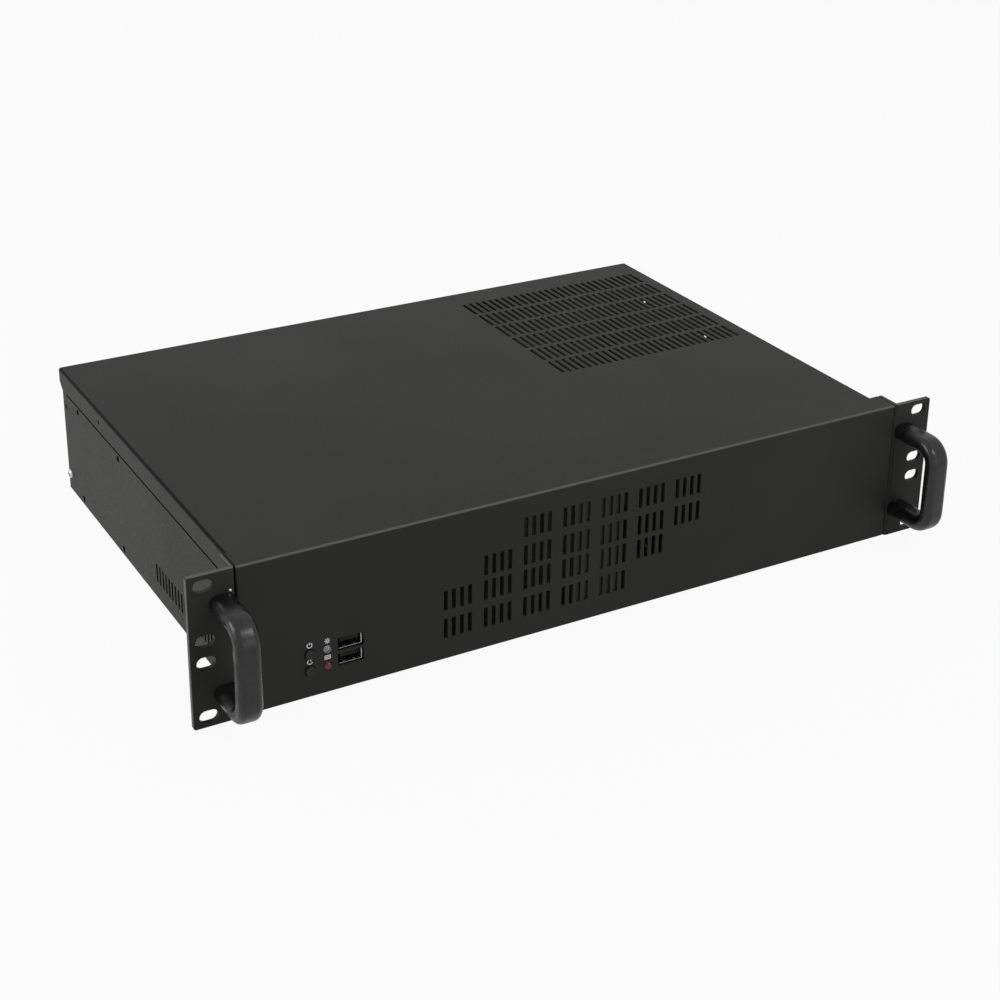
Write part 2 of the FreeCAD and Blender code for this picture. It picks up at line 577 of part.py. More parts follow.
def sketch_line(sketch, start, end):
    return sketch.addGeometry(Part.LineSegment(start, end))


def front_panel():
    """Folded front tray with the stepped grille and the holes for the controls."""
    body = new_body("front_panel")
    block = new_sketch(body, "XZ", PANEL_FRONT)
    rectangle(block, f"-{PANEL_HALF}", f"-{HALF_EAR}", f"2 * {PANEL_HALF}",
              named("{ear_height}"), named("{panel_corner}"))
    tray = pad(body, block, named("{panel_depth}"))
    front = number(PANEL_FRONT)
    round_edges(body, tray, named("{panel_edge}"),
                lambda at, box: near(at.y, front) and near(box.YLength, 0))
    hollow = new_sketch(body, "XZ", PANEL_BACK)
    rectangle(hollow, f"-{PANEL_INSIDE}", BOTTOM, f"2 * {PANEL_INSIDE}",
              named("{ear_height} - 2 * {panel_sheet}"))
    cut(body, hollow, named("{panel_depth} - {panel_sheet}"))

    inner, outer = named("{panel_vent_row_inner}"), named("{panel_vent_row_outer}")
    rows = ((outer, 2, 5), (inner, 1, 6), (f"-{inner}", 0, 6), (f"-{outer}", 0, 5))
    for height, skipped, groups in rows:
        vents = new_sketch(body, "XZ", PANEL_FRONT)
        centred(vents, named(f"{{panel_vent_left}} + {skipped} * {{panel_vent_group}}"), height,
                named("{vent_width}"), named("{panel_vent_length}"))
        vent = cut(body, vents, named("{panel_sheet}"))
        repeat(body, vent, vents, [
            ("H_Axis", named("{vent_pitch}"), named("{panel_vent_in_group}")),
            ("H_Axis", named("{panel_vent_group}"), str(groups))])

    controls = new_sketch(body, "XZ", PANEL_FRONT)
    for z in CONTROL_ROWS:
        circle(controls, BUTTON_COLUMN, z, named("{button_radius} + {slide_gap}"))
        circle(controls, LED_COLUMN, z, named("{led_radius} + {led_gap}"))
    for z in USB_ROWS:
        centred(controls, USB_COLUMN, z, named("{usb_hole_width}"),
                named("{usb_hole_height}"))
    cut(body, controls, named("{panel_sheet}"))

    sides = new_sketch(body, "YZ")
    for z in EAR_SCREW_HEIGHTS:
        circle(sides, EAR_SCREW_LINE, z, named("{screw_four} + {hole_gap}"))
    cut_through(body, sides)
    return body


def ear(label, side):
    """Rack ear: an angle whose leg backs onto the front panel's side."""
    body = new_body(label)
    edge = named(f"{side} * {{rack_width}} / 2")
    near_side = f"{side} * {PANEL_HALF}"
    far_side = f"{side} * {LEG_OUTSIDE}"
    profile = new_sketch(body, "XY", f"-{HALF_EAR}")
    outline(profile, [
        (edge, EAR_FRONT), (near_side, EAR_FRONT, named("{ear_bend}")), (near_side, PANEL_END),
        (far_side, PANEL_END), (far_side, "0", named("{ear_bend_inner}")), (edge, "0")])
    plate = pad(body, profile, named("{ear_height}"))
    outside = number(edge)
    round_edges(body, plate, named("{ear_corner}"),
                lambda at, box: near(at.x, outside) and near(box.XLength, 0)
                and near(box.ZLength, 0))
    slots = new_sketch(body, "XZ")
    for rows in (named("{slot_rows_outer}"), named("{slot_rows_inner}")):
        for sign in ("", "-"):
            long_hole(slots, f"{side} * {SLOT_MIDDLE}", f"{sign}{rows} / 2",
                      named("{slot_length}"), named("{slot_width}"))
    cut_through(body, slots)
    sinks = new_sketch(body, "XZ")
    shanks = new_sketch(body, "XZ")
    for sign in ("", "-"):
        middle = f"{side} * {HANDLE_MIDDLE}"
        circle(sinks, middle, f"{sign}{HANDLE_ARM}", named("{countersunk_radius} + {foot_gap}"))
        circle(shanks, middle, f"{sign}{HANDLE_ARM}", named("{screw_four} + {foot_gap}"))
    cut(body, sinks, named("{countersunk_height}"), forward=False, taper=-COUNTERSINK)
    cut(body, shanks, named("{ear_sheet}"), forward=False)
    sides = new_sketch(body, "YZ")
    for z in EAR_SCREW_HEIGHTS:
        circle(sides, EAR_SCREW_LINE, z, named("{screw_four} + {hole_gap}"))
    cut_through(body, sides)
    return body


def handle(label, side):
    """Bridge handle: one rounded section swept through two bends, tapped from behind."""
    body = new_body(label)
    middle = f"{side} * {HANDLE_MIDDLE}"
    reach = named(f"{EAR_FRONT} - {{handle_reach}} + {{handle_thick}} / 2")
    spine = new_sketch(body, "YZ", middle)
    bend = named("{handle_bend}")
    outline(spine, [
        (EAR_FRONT, f"-{HANDLE_ARM}"), (reach, f"-{HANDLE_ARM}", bend),
        (reach, HANDLE_ARM, bend), (EAR_FRONT, HANDLE_ARM)], closed=False)
    section = new_sketch(body, "XZ", EAR_FRONT)
    centred(section, middle, f"-{HANDLE_ARM}", named("{handle_width}"), named("{handle_thick}"),
            named("{handle_corner}"))
    doc.recompute()
    grip = body.newObject("PartDesign::AdditivePipe", "Grip")
    grip.Profile = (section, [""])
    grip.Spine = (spine, [f"Edge{i + 1}" for i in range(len(spine.Shape.Edges))])
    body.Tip = grip
    bores = new_sketch(body, "XZ", EAR_FRONT)
    for sign in ("", "-"):
        circle(bores, middle, f"{sign}{HANDLE_ARM}", named("{screw_four} + {thread_gap}"))
    cut(body, bores, named("{handle_bore_depth}"), forward=False)
    return body


def handle_screws():
    """Countersunk screws that hold the handles from behind the ears."""
    body = new_body("handle_screws")
    heads = new_sketch(body, "XZ")
    shanks = new_sketch(body, "XZ")
    for side in (LEFT, RIGHT):
        for sign in ("", "-"):
            middle = f"{side} * {HANDLE_MIDDLE}"
            circle(heads, middle, f"{sign}{HANDLE_ARM}", named("{countersunk_radius}"))
            circle(shanks, middle, f"{sign}{HANDLE_ARM}", named("{screw_four}"))
    pad(body, heads, named("{countersunk_height}"), forward=False, taper=-COUNTERSINK)
    pad(body, shanks, named("{ear_sheet} + {handle_bore_depth} - {countersunk_height}"),
        forward=False)
    return body


def clinch_nuts():
    """Pressed nuts in the side walls; their shoulders carry the front panel's sides."""
    body = new_body("ear_clinch_nuts")
    for side in (LEFT, RIGHT):
        shoulder = new_sketch(body, "YZ", f"{side} * {PANEL_INSIDE}")
        barrel = new_sketch(body, "YZ", f"{side} * {PANEL_INSIDE}")
        bore = new_sketch(body, "YZ", f"{side} * {PANEL_INSIDE}")
        for z in EAR_SCREW_HEIGHTS:
            circle(shoulder, EAR_SCREW_LINE, z, named("{nut_flange}"))
            circle(barrel, EAR_SCREW_LINE, z, named("{nut_radius}"))
            circle(bore, EAR_SCREW_LINE, z, named("{screw_four} + {thread_gap}"))
        inward = side == LEFT
        pad(body, shoulder, f"{PANEL_INSIDE} - {WALL_OUTSIDE}", inward)
        pad(body, barrel, named("{nut_length}"), inward)
        cut(body, bore, named("{nut_length}"), inward)
    return body


def ear_screws():
    body = new_body("ear_screws")
    for side in (LEFT, RIGHT):
        heads = new_sketch(body, "YZ", f"{side} * {LEG_OUTSIDE}")
        shanks = new_sketch(body, "YZ", f"{side} * {LEG_OUTSIDE}")
        for z in EAR_SCREW_HEIGHTS:
            circle(heads, EAR_SCREW_LINE, z, named("{head_four}"))
            circle(shanks, EAR_SCREW_LINE, z, named("{screw_four}"))
        inward = side == LEFT
        pad(body, heads, named("{head_four_height}"), not inward)
        pad(body, shanks, f"{LEG_OUTSIDE} - {PANEL_INSIDE} + {named('{nut_length}')}", inward)
    return body


def button(label, z):
    """Push button: cap, retaining collar and the stem that works its switch."""
    body = new_body(label)
    cap_front = f"{PANEL_FRONT} - {named('{button_proud}')}"
    collar_front = f"{PANEL_BACK} + {named('{slide_gap}')}"
    stem_end = f"{SWITCH_FRONT} + {named('{plunger_depth}')}"
    column = BUTTON_COLUMN
    cap = new_sketch(body, "XZ", cap_front)
    circle(cap, column, z, named("{button_radius}"))
    front = number(cap_front)
    cap_pad = pad(body, cap, f"{collar_front} + {named('{button_collar_thick}')} - ({cap_front})")
    round_edges(body, cap_pad, named("{button_edge}"),
                lambda at, box: near(box.YLength, 0) and near(at.y, front))
    collar = new_sketch(body, "XZ", collar_front)
    circle(collar, column, z, named("{button_collar}"))
    pad(body, collar, named("{button_collar_thick}"))
    stem = new_sketch(body, "XZ", collar_front)
    circle(stem, column, z, named("{button_stem}"))
    pad(body, stem, f"{stem_end} - ({collar_front})")
    return body


def switch(label, z):
    """Board switch with the well that the button's stem enters."""
    body = new_body(label)
    case = new_sketch(body, "XZ", SWITCH_FRONT)
    centred(case, BUTTON_COLUMN, z, named("{switch_size}"), named("{switch_size}"))
    pad(body, case, named("{switch_height}"))
    well = new_sketch(body, "XZ", SWITCH_FRONT)
    circle(well, BUTTON_COLUMN, z, named("{button_stem} + {slide_gap}"))
    cut(body, well, named("{switch_bore_depth}"))
    return body


def led(label, z):
    body = new_body(label)
    front_expression = f"{PANEL_FRONT} - {named('{led_proud}')}"
    lens = new_sketch(body, "XZ", front_expression)
    circle(lens, LED_COLUMN, z, named("{led_radius}"))
    lens_pad = pad(body, lens, named("{led_length}"))
    front = number(front_expression)
    round_edges(body, lens_pad, named("{led_dome}"),
                lambda at, box: near(box.YLength, 0) and near(at.y, front))
    flange = new_sketch(body, "XZ", LED_BACK)
    circle(flange, LED_COLUMN, z, named("{led_flange}"))
    pad(body, flange, named("{led_flange_thick}"), forward=False)
    return body


def led_spacers():
    """Plastic sleeves between the lamps and their board."""
    body = new_body("led_spacers")
    sleeves = new_sketch(body, "XZ", LED_BACK)
    for z in CONTROL_ROWS:
        circle(sleeves, LED_COLUMN, z, named("{led_radius}"))
    pad(body, sleeves, f"{BOARD_FRONT_FACE} - {LED_BACK}")
    return body


def usb_shell(label, z):
    body = new_body(label)
    front = f"{PANEL_FRONT} + {named('{usb_set_back}')}"
    shell = new_sketch(body, "XZ", front)
    column = USB_COLUMN
    centred(shell, column, z, named("{usb_width}"), named("{usb_height}"), named("{usb_corner}"))
    centred(shell, column, z, named("({usb_width} - 2 * {usb_wall})"),
            named("({usb_height} - 2 * {usb_wall})"), named("({usb_corner} - {usb_wall})"))
    pad(body, shell, f"{BOARD_FRONT_FACE} - ({front})")
    return body


def usb_tongue(label, z):
    """Insulator: a block that fills the back of the shell and the tongue in front of it."""
    body = new_body(label)
    front = f"{PANEL_FRONT} + {named('{usb_set_back}')}"
    column = USB_COLUMN
    block_front = f"{front} + {named('{usb_plug_depth}')}"
    block = new_sketch(body, "XZ", block_front)
    centred(block, column, z, named("({usb_width} - 2 * {usb_wall})"),
            named("({usb_height} - 2 * {usb_wall})"), named("({usb_corner} - {usb_wall})"))
    pad(body, block, f"{BOARD_FRONT_FACE} - ({block_front})")
    tongue = new_sketch(body, "XZ", f"{front} + {named('{usb_tongue_back}')}")
    shift = named("({usb_height} - 2 * {usb_wall} - {usb_tongue_thick}) / 4")
    centred(tongue, column, f"({z} + {shift})", named("{usb_tongue_width}"),
            named("{usb_tongue_thick}"))
    pad(body, tongue, f"{BOARD_FRONT_FACE} - ({front} + {named('{usb_tongue_back}')})")
    return body


def front_io_board():
    body = new_body("front_io_board")
    board = new_sketch(body, "XZ", BOARD_FRONT_FACE)
    rectangle(board, IO_BOARD_LEFT, named("{io_board_low}"), named("{io_board_width}"),
              named("{io_board_height}"))
    for x in SPACER_COLUMNS:
        circle(board, x, named("{spacer_height}"), named("{screw_three} + {hole_gap}"))
    pad(body, board, named("{io_board_thick}"))
    return body


def io_board_spacers():
    """Hexagonal spacers clinched into the front wall, which carry the control board."""
    body = new_body("io_board_spacers")
    barrels = new_sketch(body, "XZ", WALL_BACK_FACE)
    studs = new_sketch(body, "XZ", WALL_FRONT)
    bores = new_sketch(body, "XZ", BOARD_FRONT_FACE)
    for x in SPACER_COLUMNS:
        hexagon(barrels, x, named("{spacer_height}"), named("{spacer_flats}"))
        circle(studs, x, named("{spacer_height}"), named("{screw_three} + {hole_gap} - {foot_gap}"))
        circle(bores, x, named("{spacer_height}"), named("{screw_three} + {thread_gap}"))
    pad(body, barrels, f"{BOARD_FRONT_FACE} - {WALL_BACK_FACE}")
    pad(body, studs, f"{WALL_BACK_FACE} - {WALL_FRONT}")
    cut(body, bores, named("{cover_screw_length}"), forward=False)
    return body


def board_standoffs():
    """Hexagonal threaded standoffs for the main board, clinched into the floor."""
    body = new_body("board_standoffs")
    barrels = new_sketch(body, "XY", FLOOR)
    feet = new_sketch(body, "XY", BOTTOM)
    bores = new_sketch(body, "XY", STANDOFF_TOP)
    for x, y in STANDOFF_SPOTS:
        hexagon(barrels, x, y, named("{standoff_flats}"))
        circle(feet, x, y, named("{standoff_foot}"))
        circle(bores, x, y, named("{standoff_bore}"))
    pad(body, barrels, named("{standoff_height}"))
    pad(body, feet, named("{sheet}"))
    cut(body, bores, named("{standoff_height}"), forward=False)
    return body


def slot_blank(label, x):
    """Folded cover for one card opening; its tab lies on the ledge."""
    body = new_body(label)
    top = named("({ledge_top} + {blank_sheet})")
    back = REAR_INSIDE
    front = named(f"({REAR_INSIDE} - {{blank_sheet}})")
    end = named(f"({REAR_INSIDE} + {{blank_tab}})")
    low = named("({expansion_low} - {blank_foot})")
    profile = new_sketch(body, "YZ", f"{x} - {named('{blank_width} / 2')}")
    bend = named("{blank_sheet}")
    outline(profile, [
        (front, low), (back, low), (back, named("{ledge_top}")), (end, named("{ledge_top}")),
        (end, top), (front, top, bend)])
    pad(body, profile, named("{blank_width}"))
    hole = new_sketch(body, "XY", named("{ledge_top}"))
    circle(hole, x, LEDGE_SCREW_LINE, named("{screw_three} + {hole_gap}"))
    cut(body, hole, named("{blank_sheet}"))
    return body


def drive_tray():
    """Hat-shaped tray for one drive, screwed to the floor by its two feet."""
    body = new_body("drive_tray")
    half = named("{tray_width} / 2")
    left = f"({PSU_MIDDLE} - {half})"
    right = f"({PSU_MIDDLE} + {half})"
    thick = named("{sheet}")
    foot = named("{tray_foot}")
    foot_top = f"{FLOOR} + {thick}"
    under = f"{TRAY_TOP} - {thick}"
    outer, inner = named("{bend_outer}"), named("{bend_inner}")
    profile = new_sketch(body, "XZ", named("{tray_front}"))
    outline(profile, [
        (f"{left} - {foot}", FLOOR), (f"{left} + {thick}", FLOOR, outer),
        (f"{left} + {thick}", under, inner), (f"{right} - {thick}", under, inner),
        (f"{right} - {thick}", FLOOR, outer), (f"{right} + {foot}", FLOOR),
        (f"{right} + {foot}", foot_top), (right, foot_top, inner), (right, TRAY_TOP, outer),
        (left, TRAY_TOP, outer), (left, foot_top, inner), (f"{left} - {foot}", foot_top)])
    pad(body, profile, named("{tray_length}"))
    drive = new_sketch(body, "XY", under)
    for x in (named(f"{PSU_MIDDLE} - {{drive_holes_wide}} / 2"),
              named(f"{PSU_MIDDLE} + {{drive_holes_wide}} / 2")):
        for y in (named("{drive_holes_front}"), named("{drive_holes_front} + {drive_holes_deep}")):
            circle(drive, x, named(f"{{tray_front}} + {y}"), named("{drive_hole_radius}"))
    cut(body, drive, thick)
    feet = new_sketch(body, "XY", FLOOR)
    for x, y in TRAY_SCREW_SPOTS:
        circle(feet, x, y, named("{screw_three} + {hole_gap}"))
    cut(body, feet, thick)
    return body


COUNTERSINK = math.degrees(math.atan(
    (SIZES["countersunk_radius"] - SIZES["screw_four"]) / SIZES["countersunk_height"]))
REAR_SCREW_LINE = named(f"({REAR_OUTSIDE} - {{rear_screw_in}})")
EAR_SCREW_HEIGHTS = [named("{ear_screw_low}"), "0", named("{ear_screw_high}")]
COVER_SCREW_COLUMNS = [f"-{named('{cover_screw_spread}')}", "0", named("{cover_screw_spread}")]
SPACER_COLUMNS = [
    named(f"({IO_BOARD_LEFT} + {{spacer_inset}})"),
    named(f"({IO_BOARD_LEFT} + {{io_board_width}} - {{spacer_inset}})")]
CONTROL_ROWS = [named("{power_row}"), named("({power_row} - {control_row_pitch})")]
USB_ROWS = [named("{usb_row_top}"), named("({usb_row_top} - {usb_pitch})")]
SWITCH_FRONT = named(f"({BOARD_FRONT_FACE} - {{switch_height}})")
LED_BACK = named(f"({PANEL_FRONT} - {{led_proud}} + {{led_length}})")
EXPANSION_COLUMNS = [
    named(f"({{board_right}} - {{expansion_from_board}} - {index} * {{expansion_pitch}})")
    for index in range(int(SIZES["expansion_count"]))]
SLOT_LEFT = EXPANSION_COLUMNS[-1]
LEDGE_LEFT = f"({SLOT_LEFT} - {named('{ledge_margin}')})"
LEDGE_WIDTH = f"({EXPANSION_COLUMNS[0]} - {SLOT_LEFT} + 2 * {named('{ledge_margin}')})"
BOARD_COLUMNS = [named(f"({{board_right}} - {{{name}}})") for name in (
    "board_column_first", "board_column_second", "board_column_third")]
BOARD_ROWS = [named(f"({BOARD_BACK} - {{{name}}})") for name in (
    "board_row_back", "board_row_middle", "board_row_front")]
BOARD_ROW_BACK_RIGHT = named(f"({BOARD_BACK} - {{board_row_back_right}})")
STANDOFF_SPOTS = [(BOARD_COLUMNS[0], BOARD_ROW_BACK_RIGHT)]
STANDOFF_SPOTS += [(column, BOARD_ROWS[0]) for column in BOARD_COLUMNS[1:]]
STANDOFF_SPOTS += [(column, line) for column in BOARD_COLUMNS for line in BOARD_ROWS[1:]]
TRAY_SCREW_SPOTS = []
for direction in (LEFT, RIGHT):
    column = named(f"{PSU_MIDDLE} + {direction} * ({{tray_width}} + {{tray_foot}}) / 2")
    for share in ("0.15", "0.85"):
        TRAY_SCREW_SPOTS.append((column, named(f"{{tray_front}} + {share} * {{tray_length}}")))

three = named("{screw_three}")
head_three = named("{head_three}")
head_three_height = named("{head_three_height}")

pieces = [
    chassis_pan(), front_wall(), rear_panel(), top_cover(), front_panel(),
    ear("left_ear", LEFT), ear("right_ear", RIGHT),
    handle("left_handle", LEFT), handle("right_handle", RIGHT),
    handle_screws(), clinch_nuts(), ear_screws(),
    button("power_button", CONTROL_ROWS[0]), button("reset_button", CONTROL_ROWS[1]),
    switch("power_switch", CONTROL_ROWS[0]), switch("reset_switch", CONTROL_ROWS[1]),
    led("power_led", CONTROL_ROWS[0]), led("drive_led", CONTROL_ROWS[1]), led_spacers(),
    usb_shell("upper_usb_shell", USB_ROWS[0]), usb_shell("lower_usb_shell", USB_ROWS[1]),
    usb_tongue("upper_usb_tongue", USB_ROWS[0]), usb_tongue("lower_usb_tongue", USB_ROWS[1]),
    front_io_board(), io_board_spacers(), board_standoffs(), drive_tray(),
]
for index, column in enumerate(EXPANSION_COLUMNS, start=1):
    pieces.append(slot_blank(f"slot_blank_{index}", column))
pieces.append(screw_group(
    "cover_screws", "XZ", COVER_BACK, [(x, COVER_SCREW_HEIGHT) for x in COVER_SCREW_COLUMNS],
    three, named("{cover_screw_length}"), head_three, head_three_height, forward=False))
pieces.append(screw_group(
    "slot_blank_screws", "XY", named("{ledge_top} + {blank_sheet}"),
    [(x, LEDGE_SCREW_LINE) for x in EXPANSION_COLUMNS], three, named("{blank_sheet} + {sheet}"),
    head_three, head_three_height, forward=False))
pieces.append(screw_group(
    "drive_tray_screws", "XY", f"{FLOOR} + {named('{sheet}')}", TRAY_SCREW_SPOTS, three,
    named("2 * {sheet}"), head_three, head_three_height, forward=False))
pieces.append(screw_group(
    "io_board_screws", "XZ", f"{BOARD_FRONT_FACE} + {named('{io_board_thick}')}",
    [(x, named("{spacer_height}")) for x in SPACER_COLUMNS], three,
    named("{io_board_thick} + {cover_screw_length} / 2"), head_three, head_three_height,
    forward=False))
rear_screws = new_body("rear_panel_screws")
for side in (LEFT, RIGHT):
    heads = new_sketch(rear_screws, "YZ", f"{side} * {WALL_OUTSIDE}")
    shanks = new_sketch(rear_screws, "YZ", f"{side} * {WALL_OUTSIDE}")
    circle(heads, REAR_SCREW_LINE, named("{rear_screw_low}"), head_three)
    circle(shanks, REAR_SCREW_LINE, named("{rear_screw_low}"), three)
    pad(rear_screws, heads, head_three_height, side == RIGHT)
    pad(rear_screws, shanks, named("{sheet} * 3"), side == LEFT)
pieces.append(rear_screws)

doc.recompute()
for item in doc.Objects:
    if "Invalid" in item.State or "Error" in item.State:
        raise RuntimeError(f"{item.Label} ({item.Name}) did not build: {item.State}")
for feature in holes:
    if feature.TypeId == "PartDesign::LinearPattern":
        before = feature.Originals[0].Shape.Volume
    else:
        before = feature.BaseFeature.Shape.Volume
    if feature.Shape.Volume > before - 1e-3:
        raise RuntimeError(f"{feature.Name} of {feature.getParentGeoFeatureGroup().Label} cuts nothing")
os.makedirs("parts", exist_ok=True)
for piece in pieces:
    shape = piece.Shape
    if shape.isNull() or not shape.isValid() or not shape.Solids:
        raise RuntimeError(f"{piece.Label} has no valid solid")
    shape.exportStep(f"parts/{piece.Label}.step")
    print(piece.Label, len(shape.Solids), round(shape.Volume, 1), shape.BoundBox)
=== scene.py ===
"""Looks of an empty two-unit rack case, laid out as an add-on: finishes for its CAD parts, and the
detailed pieces that ride on them. Lengths are in metres, in the frame of the CAD model."""
import json
import math

import bmesh
import bpy
from bpy.props import FloatProperty, FloatVectorProperty, PointerProperty
from mathutils import Matrix, Vector


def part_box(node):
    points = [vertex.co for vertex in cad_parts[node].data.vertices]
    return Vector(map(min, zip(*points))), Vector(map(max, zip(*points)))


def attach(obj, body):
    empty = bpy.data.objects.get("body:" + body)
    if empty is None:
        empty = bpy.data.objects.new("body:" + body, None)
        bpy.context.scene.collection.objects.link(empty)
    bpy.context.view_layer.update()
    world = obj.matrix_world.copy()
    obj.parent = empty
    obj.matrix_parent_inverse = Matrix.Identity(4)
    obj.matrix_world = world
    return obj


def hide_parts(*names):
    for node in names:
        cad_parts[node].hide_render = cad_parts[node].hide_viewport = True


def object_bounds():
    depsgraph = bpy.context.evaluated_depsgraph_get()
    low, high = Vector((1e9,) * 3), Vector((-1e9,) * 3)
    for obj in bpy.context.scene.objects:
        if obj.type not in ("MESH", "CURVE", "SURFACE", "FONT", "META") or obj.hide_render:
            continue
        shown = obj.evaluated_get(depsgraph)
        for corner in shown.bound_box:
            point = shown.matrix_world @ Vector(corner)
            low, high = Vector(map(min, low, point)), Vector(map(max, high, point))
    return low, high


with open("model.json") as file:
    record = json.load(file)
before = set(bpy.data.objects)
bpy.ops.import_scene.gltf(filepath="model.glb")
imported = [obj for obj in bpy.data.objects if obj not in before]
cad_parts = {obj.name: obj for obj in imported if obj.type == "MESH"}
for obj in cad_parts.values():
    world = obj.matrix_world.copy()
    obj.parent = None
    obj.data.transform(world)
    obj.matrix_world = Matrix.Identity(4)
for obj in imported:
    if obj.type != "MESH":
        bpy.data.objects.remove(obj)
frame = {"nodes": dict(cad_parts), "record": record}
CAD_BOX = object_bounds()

bl_info = {
    "name": "Rack case looks",
    "version": (1, 0, 0),
    "blender": (4, 5, 0),
    "location": "View3D > Sidebar > Rack case",
    "description": "Finishes, detailed pieces and studio for an empty rackmount server case",
    "category": "Object",
}

NODES = frame["nodes"]
SLOT_OF = {part["node"]: part["material_slot"] for part in frame["record"]["subparts"]}
MM = 0.001
QUARTER = math.radians(90)


# ---------------------------------------------------------------- properties

def colour(name, description, default):
    return FloatVectorProperty(
        name=name, description=description, subtype="COLOR", size=3, min=0, max=1, default=default)


def length(name, description, default):
    return FloatProperty(name=name, description=description, default=default, unit="LENGTH")


def share(name, description, default):
    return FloatProperty(
        name=name, description=description, default=default, min=0, max=1, subtype="FACTOR")


class CaseFinish(bpy.types.PropertyGroup):
    """Colours and roughness of the metal and plastic parts."""
    coat: colour("Powder coat", "Colour of the coated sheet", (0.026, 0.026, 0.0248))
    # Also the painted highlight on the right ear's inner edge next to the front panel.
    coat_pale_and_edge_highlight: colour("Powder coat, pale", "Paler drift in the coat", (0.032, 0.032, 0.0305))
    coat_roughness: share("Coat roughness", "Roughness of the coated sheet", 0.46)
    coat_gloss: share("Coat gloss", "Strength of the coat's highlights", 0.06)
    coat_grain: length("Coat grain", "Size of the coat's orange-peel grain", 0.7 * MM)
    # Painted highlight: this paler tone along the edges of the front panel and ears stands in for the
    # light their bends catch.
    edge: colour("Bare edge", "Colour of the coat where it lies thin on an edge", (0.12, 0.12, 0.118))
    # Painted shade: this near-black tone darkens the cover's folds, the left ear's inner edge, two
    # sides of the socket shells and the strips under the cover's edges, where shade falls.
    gap: colour("Gap", "Colour of the dark gaps between the sheets", (0.0015, 0.0015, 0.0015))
    handle: colour("Handle", "Colour of the handles' coat", (0.006, 0.006, 0.006))
    handle_roughness: share("Handle roughness", "Roughness of the handles' coat", 0.33)
    handle_gloss: share("Handle gloss", "Strength of the handles' highlights", 0.4)
    plating: colour("Plating", "Colour of the zinc-plated screws", (0.55, 0.56, 0.58))
    brass: colour("Brass", "Colour of the standoffs", (0.62, 0.43, 0.17))
    nickel: colour("Nickel", "Colour of the socket shells", (0.72, 0.72, 0.72))
    gold: colour("Contact gold", "Colour of the sockets' contacts", (0.8, 0.58, 0.22))
    plastic: colour("Black plastic", "Colour of buttons and sockets", (0.012, 0.012, 0.013))
    board: colour("Board", "Colour of the control board's solder mask", (0.01, 0.09, 0.035))
    print: colour("Print", "Colour of the printed symbols", (0.78, 0.78, 0.78))
    red: colour("Red lamp", "Colour of the drive lamp's lens", (0.17, 0.008, 0.03))
    clear: colour("Clear lamp", "Colour of the power lamp's lens", (0.42, 0.42, 0.44))


class CaseDetail(bpy.types.PropertyGroup):
    """Sizes of the detailed pieces."""
    print_height: length("Print thickness", "How proud the printed symbols stand", 0.04 * MM)
    print_stroke: length("Print stroke", "Width of the symbols' lines", 0.44 * MM)
    symbol: length("Symbol", "Radius of a printed symbol", 1.4 * MM)
    dish: length("Button dish", "Depth of the dish in a button", 0.35 * MM)
    recess: length("Cross recess", "Half length of a screw's cross recess", 1.55 * MM)
    recess_width: length("Recess width", "Width of a cross recess", 0.7 * MM)
    contact: length("Contact width", "Width of a socket's contacts", 1.0 * MM)
    # Painted shade: height of the near-black strip under the cover's edge, standing in for its
    # shadow.
    seam: length("Seam", "Height of the dark seam below the cover's edge", 1.5 * MM)
    grip_thick: length("Handle thickness", "Thickness of the handles' bar", 9.5 * MM)
    grip_corner: length("Handle corner", "Corner radius of the handles' section", 4.2 * MM)
    grip_bend: length("Handle bend", "Radius of the handles' bends along the middle", 10.5 * MM)


class CaseStudio(bpy.types.PropertyGroup):
    """Camera and lamps."""
    camera: FloatVectorProperty(
        name="Camera", description="Where the camera stands", subtype="TRANSLATION", size=3,
        default=(-0.51985, -0.80547, 0.51153))
    aim: FloatVectorProperty(
        name="Aim", description="Turn of the camera", subtype="EULER", size=3,
        default=(math.radians(67.756), math.radians(-0.661), math.radians(-29.388)))
    lens: FloatProperty(name="Lens", description="Focal length", default=68.764, unit="CAMERA")
    drop: FloatProperty(name="Shift", description="Vertical shift of the lens", default=-0.15)
    key: FloatProperty(name="Key lamp", description="Power of the lamp above", default=5.5)
    side: FloatProperty(name="Side lamp", description="Power of the lamp on the left", default=11.5)
    fill: FloatProperty(name="Fill lamp", description="Power of the low lamp in front", default=4.0)
    sky: FloatProperty(name="Sky", description="Strength of the even light", default=0.45)
    # Painted shadow: the shade is drawn into the floor's colour behind the case, not thrown by the
    # lamps.
    shade: FloatVectorProperty(
        name="Shade", description="Shadow behind the case: where it is full, at its left, right "
        "and far edge, and the width of its soft rim",
        subtype="TRANSLATION", size=4, default=(0.165, 0.2, 0.44, 0.052))
    shade_lean: FloatProperty(
        name="Shade lean", description="How far the shadow leans to the right as it goes back",
        default=0.664)


def props():
    scene = bpy.context.scene
    return scene.case_finish, scene.case_detail, scene.case_studio


# ---------------------------------------------------------------- finishes

def new_finish(name, base, roughness, metallic=0.0, **sockets):
    """Material with one principled shader; returns it with its tree and shader."""
    material = bpy.data.materials.new(name)
    material.use_nodes = True
    tree = material.node_tree
    shader = tree.nodes["Principled BSDF"]
    shader.inputs["Base Color"].default_value = (*base, 1)
    shader.inputs["Roughness"].default_value = roughness
    shader.inputs["Metallic"].default_value = metallic
    for socket, value in sockets.items():
        shader.inputs[socket.replace("_", " ")].default_value = value
    material.diffuse_color = (*base, 1)
    return material, tree, shader


